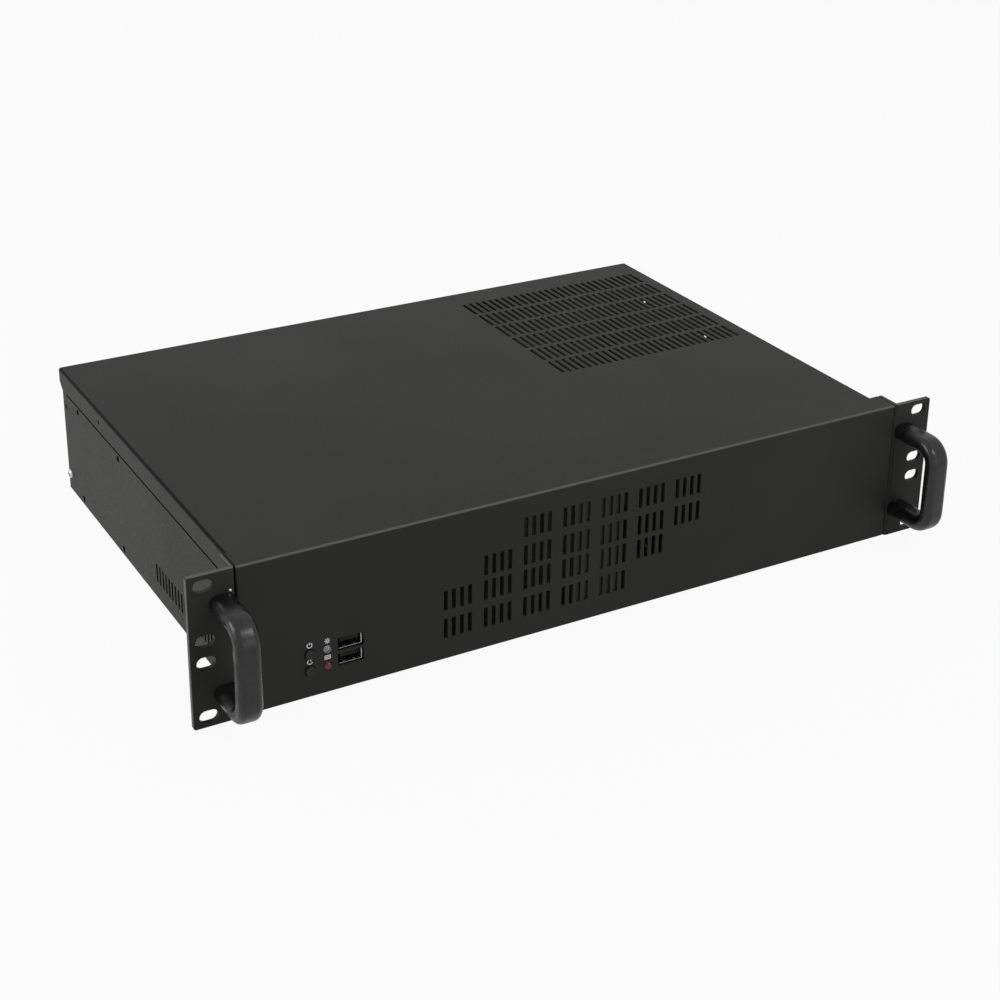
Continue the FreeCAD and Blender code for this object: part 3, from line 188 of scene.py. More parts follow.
def place(tree, stretch=(1, 1, 1)):
    """Object coordinates, with a stretch for grain that runs one way."""
    where = tree.nodes.new("ShaderNodeTexCoord")
    mapping = tree.nodes.new("ShaderNodeMapping")
    mapping.inputs["Scale"].default_value = stretch
    tree.links.new(where.outputs["Object"], mapping.inputs["Vector"])
    return mapping.outputs["Vector"]


def noise(tree, vector, size, detail=3.0, roughness=0.5):
    node = tree.nodes.new("ShaderNodeTexNoise")
    node.inputs["Scale"].default_value = 1 / size
    node.inputs["Detail"].default_value = detail
    node.inputs["Roughness"].default_value = roughness
    tree.links.new(vector, node.inputs["Vector"])
    return node.outputs["Fac"]


def ramp(tree, factor, low, high, start=0.0, end=1.0):
    """Mix of two colours, or two numbers, by a factor between two stops."""
    node = tree.nodes.new("ShaderNodeValToRGB")
    colours = [(*value, 1) if hasattr(value, "__len__") else (value, value, value, 1)
               for value in (low, high)]
    for stop, place_, tone in zip(node.color_ramp.elements, (start, end), colours):
        stop.position = place_
        stop.color = tone
    tree.links.new(factor, node.inputs["Fac"])
    return node.outputs["Color"]


def bump(tree, shader, height, depth, strength=1.0, under=None):
    node = tree.nodes.new("ShaderNodeBump")
    node.inputs["Distance"].default_value = depth
    node.inputs["Strength"].default_value = strength
    tree.links.new(height, node.inputs["Height"])
    if under is not None:
        tree.links.new(under, node.inputs["Normal"])
    tree.links.new(node.outputs["Normal"], shader.inputs["Normal"])
    return node.outputs["Normal"]


def powder_coat(name, dark, pale, roughness, grain, gloss=0.5, zones=()):
    """Fine textured powder coat, with a slow drift of tone and a matt fleck. Zones are places of
    painted highlight or painted shade in another tone: a colour, and the bands along X, Y and Z that
    bound the place."""
    material, tree, shader = new_finish(name, dark, roughness, Specular_IOR_Level=gloss)
    vector = place(tree)
    drift = noise(tree, vector, 0.09, 2.0)
    tone = ramp(tree, drift, dark, pale, 0.3, 0.7)
    for other, bands in zones:
        tone = toned(tree, tone, other, bands)
    tree.links.new(tone, shader.inputs["Base Color"])
    fleck = noise(tree, vector, grain * 1.7, 2.0)
    tree.links.new(
        ramp(tree, fleck, roughness - 0.05, roughness + 0.06, 0.3, 0.7),
        shader.inputs["Roughness"])
    fine = bump(tree, shader, noise(tree, vector, grain, 3.0, 0.6), 0.00006, 0.5)
    bump(tree, shader, noise(tree, vector, grain * 7, 1.0), 0.00008, 0.25, under=fine)
    return material


def toned(tree, tone, other, bands):
    """Another tone where every band holds: (axis, where it starts, where it is full)."""
    where = tree.nodes.new("ShaderNodeTexCoord")
    split = tree.nodes.new("ShaderNodeSeparateXYZ")
    tree.links.new(where.outputs["Object"], split.inputs[0])
    mix = tree.nodes.new("ShaderNodeMix")
    mix.data_type = "RGBA"
    mix.inputs[7].default_value = (*other, 1)
    tree.links.new(tone, mix.inputs[6])
    share_ = None
    for axis, start, full in bands:
        band = tree.nodes.new("ShaderNodeMapRange")
        band.interpolation_type = "SMOOTHSTEP"
        band.inputs["From Min"].default_value = start
        band.inputs["From Max"].default_value = full
        tree.links.new(split.outputs[axis], band.inputs["Value"])
        if share_ is None:
            share_ = band.outputs["Result"]
            continue
        both = tree.nodes.new("ShaderNodeMath")
        both.operation = "MULTIPLY"
        tree.links.new(share_, both.inputs[0])
        tree.links.new(band.outputs["Result"], both.inputs[1])
        share_ = both.outputs[0]
    tree.links.new(share_, mix.inputs[0])
    return mix.outputs[2]


def edge_light_and_shade_zones(look):
    """Painted highlights on the edges of the front panel and ears, painted shade along the folds of
    the cover and along the left ear's inner edge, and a paler painted highlight at the right ear's
    inner edge."""
    panel_low, panel_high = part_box("front_panel")
    left_low, left_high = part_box("left_ear")
    right_low, right_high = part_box("right_ear")
    cover_low, cover_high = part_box("top_cover")
    fold = ("Z", cover_high.z - 1.7 * MM, cover_high.z - 1.4 * MM)
    top = ("Z", panel_high.z - 0.3 * MM, panel_high.z - 0.15 * MM)
    return {
        # Painted shade along the cover's two side folds.
        "top_cover": [
            (look.gap, [fold, ("X", cover_low.x + 1.7 * MM, cover_low.x + 1.4 * MM)]),
            (look.gap, [fold, ("X", cover_high.x - 1.7 * MM, cover_high.x - 1.4 * MM)])],
        # Painted highlight along the front panel's top front edge.
        "front_panel": [(look.edge, [("Z", panel_high.z - 1.2 * MM, panel_high.z - 0.8 * MM),
                                     ("Y", panel_low.y + 1.2 * MM, panel_low.y + 0.8 * MM)])],
        # Left ear: painted highlights on its top and left edges, and painted shade along its inner
        # edge next to the panel.
        "left_ear": [(look.edge, [top]),
                     (look.edge, [("X", left_low.x + 0.4 * MM, left_low.x + 0.2 * MM)]),
                     (look.gap, [("X", left_high.x - 1.3 * MM, left_high.x - 1.0 * MM)])],
        # Right ear: painted highlight on its top edge.
        "right_ear": [(look.edge, [top]),
                      # Painted highlight: a paler strip on the right ear's inner edge next to the
                      # panel.
                      (look.coat_pale_and_edge_highlight, [("X", right_low.x + 1.5 * MM, right_low.x + 1.1 * MM)])],
    }


def rim_shade_zones(look, node):
    """Painted shade: a black rim on the two sides of a socket shell where the panel's cut-out shades
    it.
    """
    low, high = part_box(node)
    return [(look.gap, [("X", low.x + 0.6 * MM, low.x + 0.4 * MM)]),
            (look.gap, [("Z", high.z - 0.6 * MM, high.z - 0.4 * MM)])]


def satin_coat(name, base, roughness, gloss):
    """Smooth satin coat that lies in shallow waves, so its highlights break into patches."""
    material, tree, shader = new_finish(name, base, roughness, Specular_IOR_Level=gloss)
    vector = place(tree)
    pale = tuple(value * 1.3 for value in base)
    tree.links.new(ramp(tree, noise(tree, vector, 0.02, 2.0), base, pale, 0.3, 0.7),
                   shader.inputs["Base Color"])
    tree.links.new(
        ramp(tree, noise(tree, vector, 0.006, 2.0), roughness - 0.08, roughness + 0.1, 0.3, 0.7),
        shader.inputs["Roughness"])
    fine = bump(tree, shader, noise(tree, vector, 0.0006, 2.0), 0.00002, 0.2)
    bump(tree, shader, noise(tree, vector, 0.004, 1.5), 0.0005, 0.7, under=fine)
    return material


def plated(name, base, roughness=0.28, zones=()):
    """Zinc or nickel plate, faintly clouded, with fine turning marks, and zones of painted shade as
    on the coat.
    """
    material, tree, shader = new_finish(name, base, roughness, 1.0)
    vector = place(tree)
    cloud = noise(tree, vector, 0.0012, 3.0)
    shade = tuple(value * 0.82 for value in base)
    tone = ramp(tree, cloud, shade, base, 0.3, 0.7)
    for other, bands in zones:
        tone = toned(tree, tone, other, bands)
    tree.links.new(tone, shader.inputs["Base Color"])
    tree.links.new(
        ramp(tree, noise(tree, vector, 0.0004), roughness - 0.08, roughness + 0.12),
        shader.inputs["Roughness"])
    bump(tree, shader, noise(tree, place(tree, (1, 1, 6)), 0.0006), 0.00001, 0.4)
    return material


def moulded(name, base, roughness=0.42, gloss=0.5):
    """Moulded plastic with the light spark texture of its tool."""
    material, tree, shader = new_finish(name, base, roughness, Specular_IOR_Level=gloss)
    vector = place(tree)
    pale = tuple(min(1.0, value * 1.3 + 0.002) for value in base)
    tree.links.new(ramp(tree, noise(tree, vector, 0.002), base, pale, 0.35, 0.75),
                   shader.inputs["Base Color"])
    bump(tree, shader, noise(tree, vector, 0.00018, 2.0), 0.00002, 0.35)
    return material


def lens(name, tint, glow, clarity):
    """Epoxy lens: see-through, tinted, faintly cloudy, with a faint painted glow in its tint."""
    material, tree, shader = new_finish(
        name, tint, 0.08, Transmission_Weight=clarity, IOR=1.5, Specular_IOR_Level=0.3)
    cloud = noise(tree, place(tree), 0.0009, 2.0)
    shade = tuple(value * 0.75 for value in tint)
    tree.links.new(ramp(tree, cloud, shade, tint, 0.3, 0.7), shader.inputs["Base Color"])
    # Painted glow: a faint emission in the lens's own tint.
    shader.inputs["Emission Color"].default_value = (*tint, 1)
    shader.inputs["Emission Strength"].default_value = glow
    return material


def solder_mask(name, base):
    """Green solder mask with the ghost of the tracks under it."""
    material, tree, shader = new_finish(name, base, 0.32, Coat_Weight=0.35)
    vector = place(tree, (1, 1, 1))
    tracks = tree.nodes.new("ShaderNodeTexBrick")
    tracks.inputs["Scale"].default_value = 260
    tracks.inputs["Mortar Size"].default_value = 0.035
    pale = tuple(min(1.0, value * 1.9) for value in base)
    for socket, tone in (("Color1", base), ("Color2", base), ("Mortar", pale)):
        tracks.inputs[socket].default_value = (*tone, 1)
    flat = tree.nodes.new("ShaderNodeMapping")
    flat.inputs["Rotation"].default_value = (QUARTER, 0, 0)
    tree.links.new(vector, flat.inputs["Vector"])
    tree.links.new(flat.outputs["Vector"], tracks.inputs["Vector"])
    tree.links.new(tracks.outputs["Color"], shader.inputs["Base Color"])
    bump(tree, shader, tracks.outputs["Fac"], 0.00002, 0.4)
    return material


def finishes():
    """Every finish by the name of its material slot, made once."""
    if "case_paint" in FINISHES:
        return FINISHES
    look = props()[0]
    FINISHES.update({
        "case_paint": powder_coat(
            "powder_coat", look.coat, look.coat_pale_and_edge_highlight, look.coat_roughness, look.coat_grain,
            look.coat_gloss),
        "handle_paint": satin_coat(
            "handle_coat", look.handle, look.handle_roughness, look.handle_gloss),
        # The panel, ear, cover and socket shell finishes carry the painted highlights and painted
        # shade of their zones.
        **{f"{node}_coat": powder_coat(
            f"{node}_coat", look.coat, look.coat_pale_and_edge_highlight, look.coat_roughness, look.coat_grain,
            look.coat_gloss, zones) for node, zones in edge_light_and_shade_zones(look).items()},
        **{f"{node}_coat": plated(f"{node}_plate", look.nickel, 0.2, rim_shade_zones(look, node))
           for node in ("upper_usb_shell", "lower_usb_shell")},
        # Painted shade: matt near-black for the strips under the cover's edges.
        "shade_strip_black": moulded("shade_strip_black", look.gap, 0.9, 0.0),
        "plated_steel": plated("zinc_plate", look.plating),
        "black_steel": powder_coat(
            "black_oxide", look.plastic, look.coat, 0.38, look.coat_grain * 0.5),
        "brass": plated("turned_brass", look.brass, 0.3),
        "socket_metal": plated("nickel_plate", look.nickel, 0.2),
        "contact_gold": plated("contact_gold", look.gold, 0.22),
        "socket_plastic": moulded("socket_plastic", look.plastic, 0.5, 0.1),
        "button_plastic": moulded("button_plastic", look.plastic, 0.36, 0.2),
        "switch_plastic": moulded("switch_plastic", look.plastic, 0.5),
        # The lamp lenses get a faint painted glow.
        "lamp_clear": lens("clear_lens", look.clear, 0.03, 0.85),
        "lamp_red": lens("red_lens", look.red, 0.06, 0.5),
        "board_laminate": solder_mask("solder_mask", look.board),
        "print": moulded("white_print", look.print, 0.6),
    })
    return FINISHES


FINISHES = {}


# ---------------------------------------------------------------- making pieces

def finish_piece(name, mesh, body, slot, replaced=(), smooth=math.radians(30)):
    """Object from a bmesh, at the origin, with its finish, body and record slot."""
    bmesh.ops.remove_doubles(mesh, verts=mesh.verts, dist=1e-7)
    bmesh.ops.recalc_face_normals(mesh, faces=mesh.faces)
    data = bpy.data.meshes.new(name)
    mesh.to_mesh(data)
    mesh.free()
    data.materials.append(finishes()[slot])
    piece = bpy.data.objects.new(name, data)
    bpy.context.scene.collection.objects.link(piece)
    data.shade_smooth()
    data.set_sharp_from_angle(angle=smooth)
    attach(piece, body)
    if replaced:
        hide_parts(*replaced)
    return piece


def lathe(mesh, profile, centre, axis, steps=48):
    """Spins a closed or axis-to-axis profile of (radius, height) about an axis."""
    along = Vector(axis).normalized()
    side = along.orthogonal().normalized()
    points = [Vector(centre) + side * radius + along * height for radius, height in profile]
    verts = [mesh.verts.new(point) for point in points]
    edges = [mesh.edges.new(pair) for pair in zip(verts, verts[1:])]
    bmesh.ops.spin(
        mesh, geom=verts + edges, cent=Vector(centre), axis=along, angle=math.tau, steps=steps,
        use_merge=True)
    return verts


def box(mesh, low, high, soften=0.0):
    """Block between two corners, its edges bevelled if soften is given."""
    low, high = Vector(low), Vector(high)
    made = bmesh.ops.create_cube(mesh, size=1.0, matrix=Matrix.Translation((low + high) / 2)
                                 @ Matrix.Diagonal((*(high - low), 1)))
    if soften:
        edges = {edge for vert in made["verts"] for edge in vert.link_edges}
        bmesh.ops.bevel(
            mesh, geom=list(edges), offset=soften, segments=2, profile=0.5, affect="EDGES",
            material=-1)
    return made["verts"]


def middle_of(node):
    low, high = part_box(node)
    return (low + high) / 2


def islands(node):
    """Boxes (low, high) of the separate solids in a CAD node, left to right."""
    mesh = bmesh.new()
    mesh.from_mesh(NODES[node].data)
    bmesh.ops.remove_doubles(mesh, verts=mesh.verts, dist=1e-6)
    seen, boxes = set(), []
    for start in mesh.verts:
        if start in seen:
            continue
        group, todo = [], [start]
        seen.add(start)
        while todo:
            vert = todo.pop()
            group.append(vert.co.copy())
            for edge in vert.link_edges:
                other = edge.other_vert(vert)
                if other not in seen:
                    seen.add(other)
                    todo.append(other)
        low = Vector([min(point[i] for point in group) for i in range(3)])
        high = Vector([max(point[i] for point in group) for i in range(3)])
        boxes.append((low, high))
    mesh.free()
    return sorted(boxes, key=lambda pair: tuple(round(value, 5) for value in pair[0]))


def cross_recess(mesh, top, side, other, inward, reach, half, deep, rim, drop):
    """Tapered cross sunk in a screw's head, joined to the open ring at the head's crown."""
    corners = [(reach, -half), (reach, half), (half, half), (half, reach), (-half, reach),
               (-half, half), (-reach, half), (-reach, -half), (-half, -half), (-half, -reach),
               (half, -reach), (half, -half)]
    verts = [mesh.verts.new(top + side * x + other * y + inward * drop) for x, y in corners]
    cross = [mesh.edges.new(pair) for pair in zip(verts, verts[1:] + verts[:1])]
    ring = [edge for edge in mesh.edges if edge.is_boundary and all(
        abs((vert.co - top - inward * drop).length - rim) < 1e-6 for vert in edge.verts)]
    bmesh.ops.bridge_loops(mesh, edges=ring + cross)
    made = bmesh.ops.extrude_edge_only(mesh, edges=cross)
    floor = [part for part in made["geom"] if isinstance(part, bmesh.types.BMVert)]
    for vert in floor:
        out = vert.co - (top + inward * drop)
        vert.co = top + inward * deep + out * 0.6
    edges = [part for part in made["geom"] if isinstance(part, bmesh.types.BMEdge)]
    bmesh.ops.holes_fill(mesh, edges=edges, sides=0)


def symbol_arc(mesh, centre, radius, start, sweep, look):
    """Flat printed arc on the front panel; angles run anticlockwise from the right."""
    inner, outer = radius - look.print_stroke / 2, radius + look.print_stroke / 2
    way = Vector((math.cos(start), 0, math.sin(start)))
    proud = Vector((0, -look.print_height, 0))
    corners = [centre + way * inner, centre + way * outer,
               centre + way * outer + proud, centre + way * inner + proud]
    face = mesh.faces.new([mesh.verts.new(corner) for corner in corners])
    whole = abs(sweep - math.tau) < 1e-6
    made = bmesh.ops.spin(
        mesh, geom=[face, *face.edges, *face.verts], cent=centre, axis=(0, -1, 0), angle=sweep,
        steps=max(6, int(sweep * 8)), use_merge=whole)
    return made


def symbol_bar(mesh, start, end, look):
    """Straight printed line between two points of the front panel."""
    start, end = Vector(start), Vector(end)
    run = end - start
    turn = Matrix.Rotation(-math.atan2(run.z, run.x), 4, "Y")
    size = Matrix.Diagonal((run.length, look.print_height, look.print_stroke, 1))
    centre = (start + end) / 2 - Vector((0, look.print_height / 2, 0))
    bmesh.ops.create_cube(mesh, size=1.0, matrix=Matrix.Translation(centre) @ turn @ size)


def screws(name, node, axis, slot, shank, head, sunk=False):
    """Cross-recessed screws in place of a CAD node; axis points out of the heads."""
    look = props()[1]
    mesh = bmesh.new()
    for low, high in islands(node):
        centre = (low + high) / 2
        way = Vector(axis)
        if way.x:
            way = Vector((math.copysign(1, centre.x), 0, 0))
        across = [i for i in range(3) if not abs(way[i]) > 0.5]
        along = [i for i in range(3) if abs(way[i]) > 0.5][0]
        radius = (high[across[0]] - low[across[0]]) / 2
        tall = high[along] - low[along]
        top = centre + way * tall / 2
        tip = -tall
        rim = radius * 0.72
        if sunk:
            drop = 0.0
            profile = [(rim, 0), (radius * 0.97, 0), (radius, -0.03 * head), (shank, -head)]
        else:
            drop = head * 0.1
            profile = [(rim, -drop), (radius * 0.84, -head * 0.25),
                       (radius * 0.97, -head * 0.55), (radius, -head * 0.75), (radius, -head)]
        pitch = 0.5 * MM
        ring = profile[-1][1] - 0.02 * MM
        root = shank - 0.28 * MM
        profile.append((root, ring))
        while ring - pitch > tip + 0.3 * MM:
            profile.append((shank, ring - pitch / 2))
            profile.append((root, ring - pitch))
            ring -= pitch
        profile += [(root, tip + 0.1 * MM), (root - 0.15 * MM, tip), (0, tip)]
        lathe(mesh, profile, top, way, 32)
        bmesh.ops.remove_doubles(mesh, verts=mesh.verts, dist=1e-7)
        side = Vector((0, 0, 0))
        side[across[0]] = 1.0
        reach = min(look.recess, radius * 0.58)
        cross_recess(mesh, top, side, way.cross(side), -way, reach, look.recess_width / 2,
                     head * 0.62, rim, drop)
    return finish_piece(name, mesh, BODY_OF[node], slot, replaced=(node,))


BODY_OF = {node: body for body, nodes in frame["record"]["behaviour"]["bodies"].items()
           for node in nodes}


# ---------------------------------------------------------------- operators



class CASE_OT_coats(bpy.types.Operator):
    """Give every CAD part the finish of its material slot"""
    bl_idname = "rack_case.coats"
    bl_label = "Finishes of the CAD parts"

    def execute(self, context):
        for node, part in NODES.items():
            part.data.materials.clear()
            part.data.materials.append(finishes().get(f"{node}_coat", finishes()[SLOT_OF[node]]))
        return {"FINISHED"}


class CASE_OT_handles(bpy.types.Operator):
    """Bridge handles, swept round two bends from one rounded section"""
    bl_idname = "rack_case.handles"
    bl_label = "Handles"

    def execute(self, context):
        for side in ("left", "right"):
            node = f"{side}_handle"
            low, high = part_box(node)
            look = props()[1]
            wide, thick, bend = high.x - low.x, look.grip_thick, look.grip_bend
            middle = (low.x + high.x) / 2
            mesh = bmesh.new()
            made = bmesh.ops.create_grid(mesh, x_segments=1, y_segments=1, size=0.5)
            bmesh.ops.scale(mesh, vec=(wide, thick, 1), verts=made["verts"])
            bmesh.ops.bevel(
                mesh, geom=mesh.verts[:], offset=look.grip_corner, segments=10, profile=0.5,
                affect="VERTICES", material=-1)
            bmesh.ops.rotate(mesh, cent=(0, 0, 0), matrix=Matrix.Rotation(QUARTER, 3, "X"),
                             verts=mesh.verts[:])
            bmesh.ops.translate(mesh, vec=(middle, high.y, low.z + thick / 2),
                                verts=mesh.verts[:])
            bmesh.ops.delete(mesh, geom=mesh.faces[:], context="FACES_ONLY")
            ring = mesh.edges[:]
            front = low.y + thick / 2 + bend
            ring = self.run(mesh, ring, (0, front - high.y, 0))
            ring = self.turn(mesh, ring, (middle, front, low.z + thick / 2 + bend))
            ring = self.run(mesh, ring, (0, 0, high.z - low.z - thick - 2 * bend))
            ring = self.turn(mesh, ring, (middle, front, high.z - thick / 2 - bend))
            self.run(mesh, ring, (0, high.y - front, 0))
            bmesh.ops.holes_fill(mesh, edges=mesh.edges[:], sides=0)
            finish_piece(f"{side}_handle_grip", mesh, BODY_OF[node], "handle_paint", (node,))
        return {"FINISHED"}

    def run(self, mesh, ring, by):
        made = bmesh.ops.extrude_edge_only(mesh, edges=ring)
        verts = [part for part in made["geom"] if isinstance(part, bmesh.types.BMVert)]
        bmesh.ops.translate(mesh, vec=by, verts=verts)
        return [part for part in made["geom"] if isinstance(part, bmesh.types.BMEdge)]

    def turn(self, mesh, ring, centre):
        verts = list({vert for edge in ring for vert in edge.verts})
        made = bmesh.ops.spin(
            mesh, geom=verts + ring, cent=centre, axis=(-1, 0, 0), angle=QUARTER, steps=16,
            use_merge=False)
        return [part for part in made["geom_last"] if isinstance(part, bmesh.types.BMEdge)]


class CASE_OT_screws(bpy.types.Operator):
    """Cross-recessed screws in place of the plain ones"""
    bl_idname = "rack_case.screws"
    bl_label = "Screws"

    def execute(self, context):
        three, four = 1.5 * MM, 2.0 * MM
        small, large = 1.9 * MM, 2.4 * MM
        screws("cover_screw_set", "cover_screws", (0, 1, 0), "plated_steel", three, small)
        screws("side_screw_set", "rear_panel_screws", (1, 0, 0), "plated_steel", three, small)
        screws("ear_screw_set", "ear_screws", (1, 0, 0), "black_steel", four, large)
        screws("blank_screw_set", "slot_blank_screws", (0, 0, 1), "plated_steel", three, small)
        screws("tray_screw_set", "drive_tray_screws", (0, 0, 1), "plated_steel", three, small)
        screws("board_screw_set", "io_board_screws", (0, 1, 0), "plated_steel", three, small)
        screws("handle_screw_set", "handle_screws", (0, 1, 0), "plated_steel", four,
               2.0 * MM, sunk=True)
        return {"FINISHED"}


class CASE_OT_buttons(bpy.types.Operator):
    """Dished push buttons with their collars and stems"""
    bl_idname = "rack_case.buttons"
    bl_label = "Push buttons"

    def execute(self, context):
        look = props()[1]
        for node in ("power_button", "reset_button"):
            low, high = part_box(node)
            collar = (high.x - low.x) / 2
            cap, stem = collar - 1.0 * MM, 1.4 * MM
            back = 3.1 * MM + 1.0 * MM
            front = middle_of(node)
            front.y = low.y
            profile = [(0, look.dish), (cap * 0.35, look.dish * 0.8), (cap * 0.65, look.dish * 0.3),
                       (cap * 0.8, 0.02 * MM), (cap * 0.87, 0), (cap * 0.95, 0.1 * MM),
                       (cap, 0.4 * MM), (cap, back - 1.0 * MM), (collar - 0.1 * MM, back - MM),
                       (collar, back - 0.9 * MM), (collar, back - 0.1 * MM),
                       (collar - 0.1 * MM, back), (stem, back),
                       (stem, high.y - low.y - 0.2 * MM), (stem - 0.2 * MM, high.y - low.y),
                       (0, high.y - low.y)]
            mesh = bmesh.new()
            lathe(mesh, profile, front, (0, 1, 0), 48)
            finish_piece(f"{node}_cap", mesh, BODY_OF[node], "button_plastic", (node,))
        return {"FINISHED"}


class CASE_OT_lamps(bpy.types.Operator):
    """Round lamps: lens, reflector cup and leads"""
    bl_idname = "rack_case.lamps"
    bl_label = "Lamps"

    def execute(self, context):
        for node, slot in (("power_led", "lamp_clear"), ("drive_led", "lamp_red")):
            low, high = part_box(node)
            flange = (high.x - low.x) / 2
            lens_radius = flange - 0.35 * MM
            tall = high.y - low.y
            front = middle_of(node)
            front.y = low.y
            dome = [(lens_radius * math.sin(angle), 2.2 * MM * (1 - math.cos(angle)))
                    for angle in (QUARTER * step / 8 for step in range(9))]
            mesh = bmesh.new()
            lathe(mesh, dome + [(lens_radius, tall - MM), (flange, tall - MM), (flange, tall),
                                (0, tall)], front, (0, 1, 0), 40)
            finish_piece(f"{node}_lens", mesh, BODY_OF[node], slot, (node,))
            cup = bmesh.new()
            lathe(cup, [(0, 4.1 * MM), (0.5 * MM, 4.1 * MM), (1.0 * MM, 3.2 * MM),
                        (1.15 * MM, 3.2 * MM), (1.15 * MM, 5.0 * MM), (0, 5.0 * MM)],
                  front, (0, 1, 0), 24)
            for offset in (-1.27 * MM, 1.27 * MM):
                box(cup, front + Vector((offset - 0.25 * MM, 4.6 * MM, -0.25 * MM)),
                    front + Vector((offset + 0.25 * MM, tall - 0.1 * MM, 0.25 * MM)), 0.05 * MM)
            finish_piece(f"{node}_cup", cup, BODY_OF[node], "socket_metal")
        return {"FINISHED"}


class CASE_OT_sockets(bpy.types.Operator):
    """Contacts and leaf springs of the two sockets"""
    bl_idname = "rack_case.sockets"
    bl_label = "Socket contacts"

    def execute(self, context):
        look = props()[1]
        for name in ("upper", "lower"):
            shell_low, shell_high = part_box(f"{name}_usb_shell")
            centre = middle_of(f"{name}_usb_shell")
            tongue = middle_of(f"{name}_usb_tongue").x
            front = shell_low.y
            tongue_low = centre.z + 0.03 * MM
            contacts = bmesh.new()
            for step, reach in ((-3.5, 0.0), (-1.0, 1.0), (1.0, 1.0), (3.5, 0.0)):
                column = tongue + step * MM
                half = look.contact / 2
                box(contacts, (column - half, front + (1.6 + reach) * MM, tongue_low - 0.12 * MM),
                    (column + half, front + 8.6 * MM, tongue_low + 0.1 * MM), 0.04 * MM)
            finish_piece(f"{name}_usb_contacts", contacts, "chassis", "contact_gold")
            springs = bmesh.new()
            for step in (-3.2, 3.2):
                column = tongue + step * MM
                for roof, sign in ((shell_high.z, -1), (shell_low.z, 1)):
                    inside = roof + sign * 0.4 * MM
                    self.spring(springs, column, front, inside, sign)
            finish_piece(f"{name}_usb_springs", springs, "chassis", "socket_metal")
        return {"FINISHED"}

    def spring(self, mesh, column, front, inside, sign):
        """Leaf pressed in from the shell, bowed towards the plug."""
        made = bmesh.ops.create_grid(mesh, x_segments=1, y_segments=8, size=0.5)
        for vert in made["verts"]:
            along = vert.co.y + 0.5
            bow = math.sin(math.pi * min(1.0, along * 1.15)) * 0.45 * MM
            vert.co = Vector((column + vert.co.x * 1.6 * MM, front + (0.8 + 4.6 * along) * MM,
                              inside + sign * (bow + 0.02 * MM)))
        faces = [face for face in mesh.faces if all(vert in made["verts"] for vert in face.verts)]
        bmesh.ops.solidify(mesh, geom=faces, thickness=0.18 * MM)


class CASE_OT_symbols(bpy.types.Operator):
    """Plain printed symbols over the buttons and lamps"""
    bl_idname = "rack_case.symbols"
    bl_label = "Printed symbols"

    def execute(self, context):
        look = props()[1]
        size = look.symbol
        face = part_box("front_panel")[0].y
        power, reset = middle_of("power_button"), middle_of("reset_button")
        lamp, drive = middle_of("power_led"), middle_of("drive_led")
        rise = 5.2 * MM
        mesh = bmesh.new()
        centre = Vector((power.x, face, power.z + rise))
        symbol_arc(mesh, centre, size, math.radians(125), math.radians(290), look)
        symbol_bar(mesh, centre + Vector((0, 0, size * 0.25)),
                   centre + Vector((0, 0, size * 1.3)), look)
        centre = Vector((reset.x, face, reset.z + rise))
        symbol_arc(mesh, centre, size, math.radians(60), math.radians(285), look)
        tip = centre + Vector((math.cos(math.radians(60)), 0, math.sin(math.radians(60)))) * size
        for lean in (150, 255):
            way = Vector((math.cos(math.radians(lean)), 0, math.sin(math.radians(lean))))
            symbol_bar(mesh, tip, tip + way * size * 0.75, look)
        centre = Vector((lamp.x, face, lamp.z + rise))
        symbol_arc(mesh, centre, size * 0.5, 0, math.tau, look)
        for step in range(8):
            way = Vector((math.cos(math.tau * step / 8), 0, math.sin(math.tau * step / 8)))
            symbol_bar(mesh, centre + way * size * 0.85, centre + way * size * 1.2, look)
        centre = Vector((drive.x, face, drive.z + rise))
        wide = size * 1.1
        for level in (-0.7, 0.0, 0.7):
            symbol_bar(mesh, centre + Vector((-wide, 0, level * size)),
                       centre + Vector((wide, 0, level * size)), look)
        for end in (-1, 1):
            symbol_bar(mesh, centre + Vector((end * wide, 0, -0.85 * size)),
                       centre + Vector((end * wide, 0, 0.85 * size)), look)
        finish_piece("printed_symbols", mesh, "chassis", "print")
        return {"FINISHED"}


class CASE_OT_shade_strips(bpy.types.Operator):
    """Painted shade: near-black strips on the side walls, under the edges of the cover"""
    bl_idname = "rack_case.seams"
    bl_label = "Cover shade_strips"

    def execute(self, context):
        look = props()[1]
        wall_low, wall_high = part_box("chassis_pan")
        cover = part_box("top_cover")[0].z - 0.05 * MM
        front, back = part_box("left_ear")[1].y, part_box("rear_panel")[0].y
        proud = wall_low.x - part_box("top_cover")[0].x - 0.15 * MM
        mesh = bmesh.new()
        for inner, outer in ((wall_low.x, wall_low.x - proud), (wall_high.x, wall_high.x + proud)):
            box(mesh, (min(inner, outer), front, cover - look.seam),
                (max(inner, outer), back, cover), 0.2 * MM)
        finish_piece("cover_shade_strips", mesh, "chassis", "shade_strip_black")
        return {"FINISHED"}


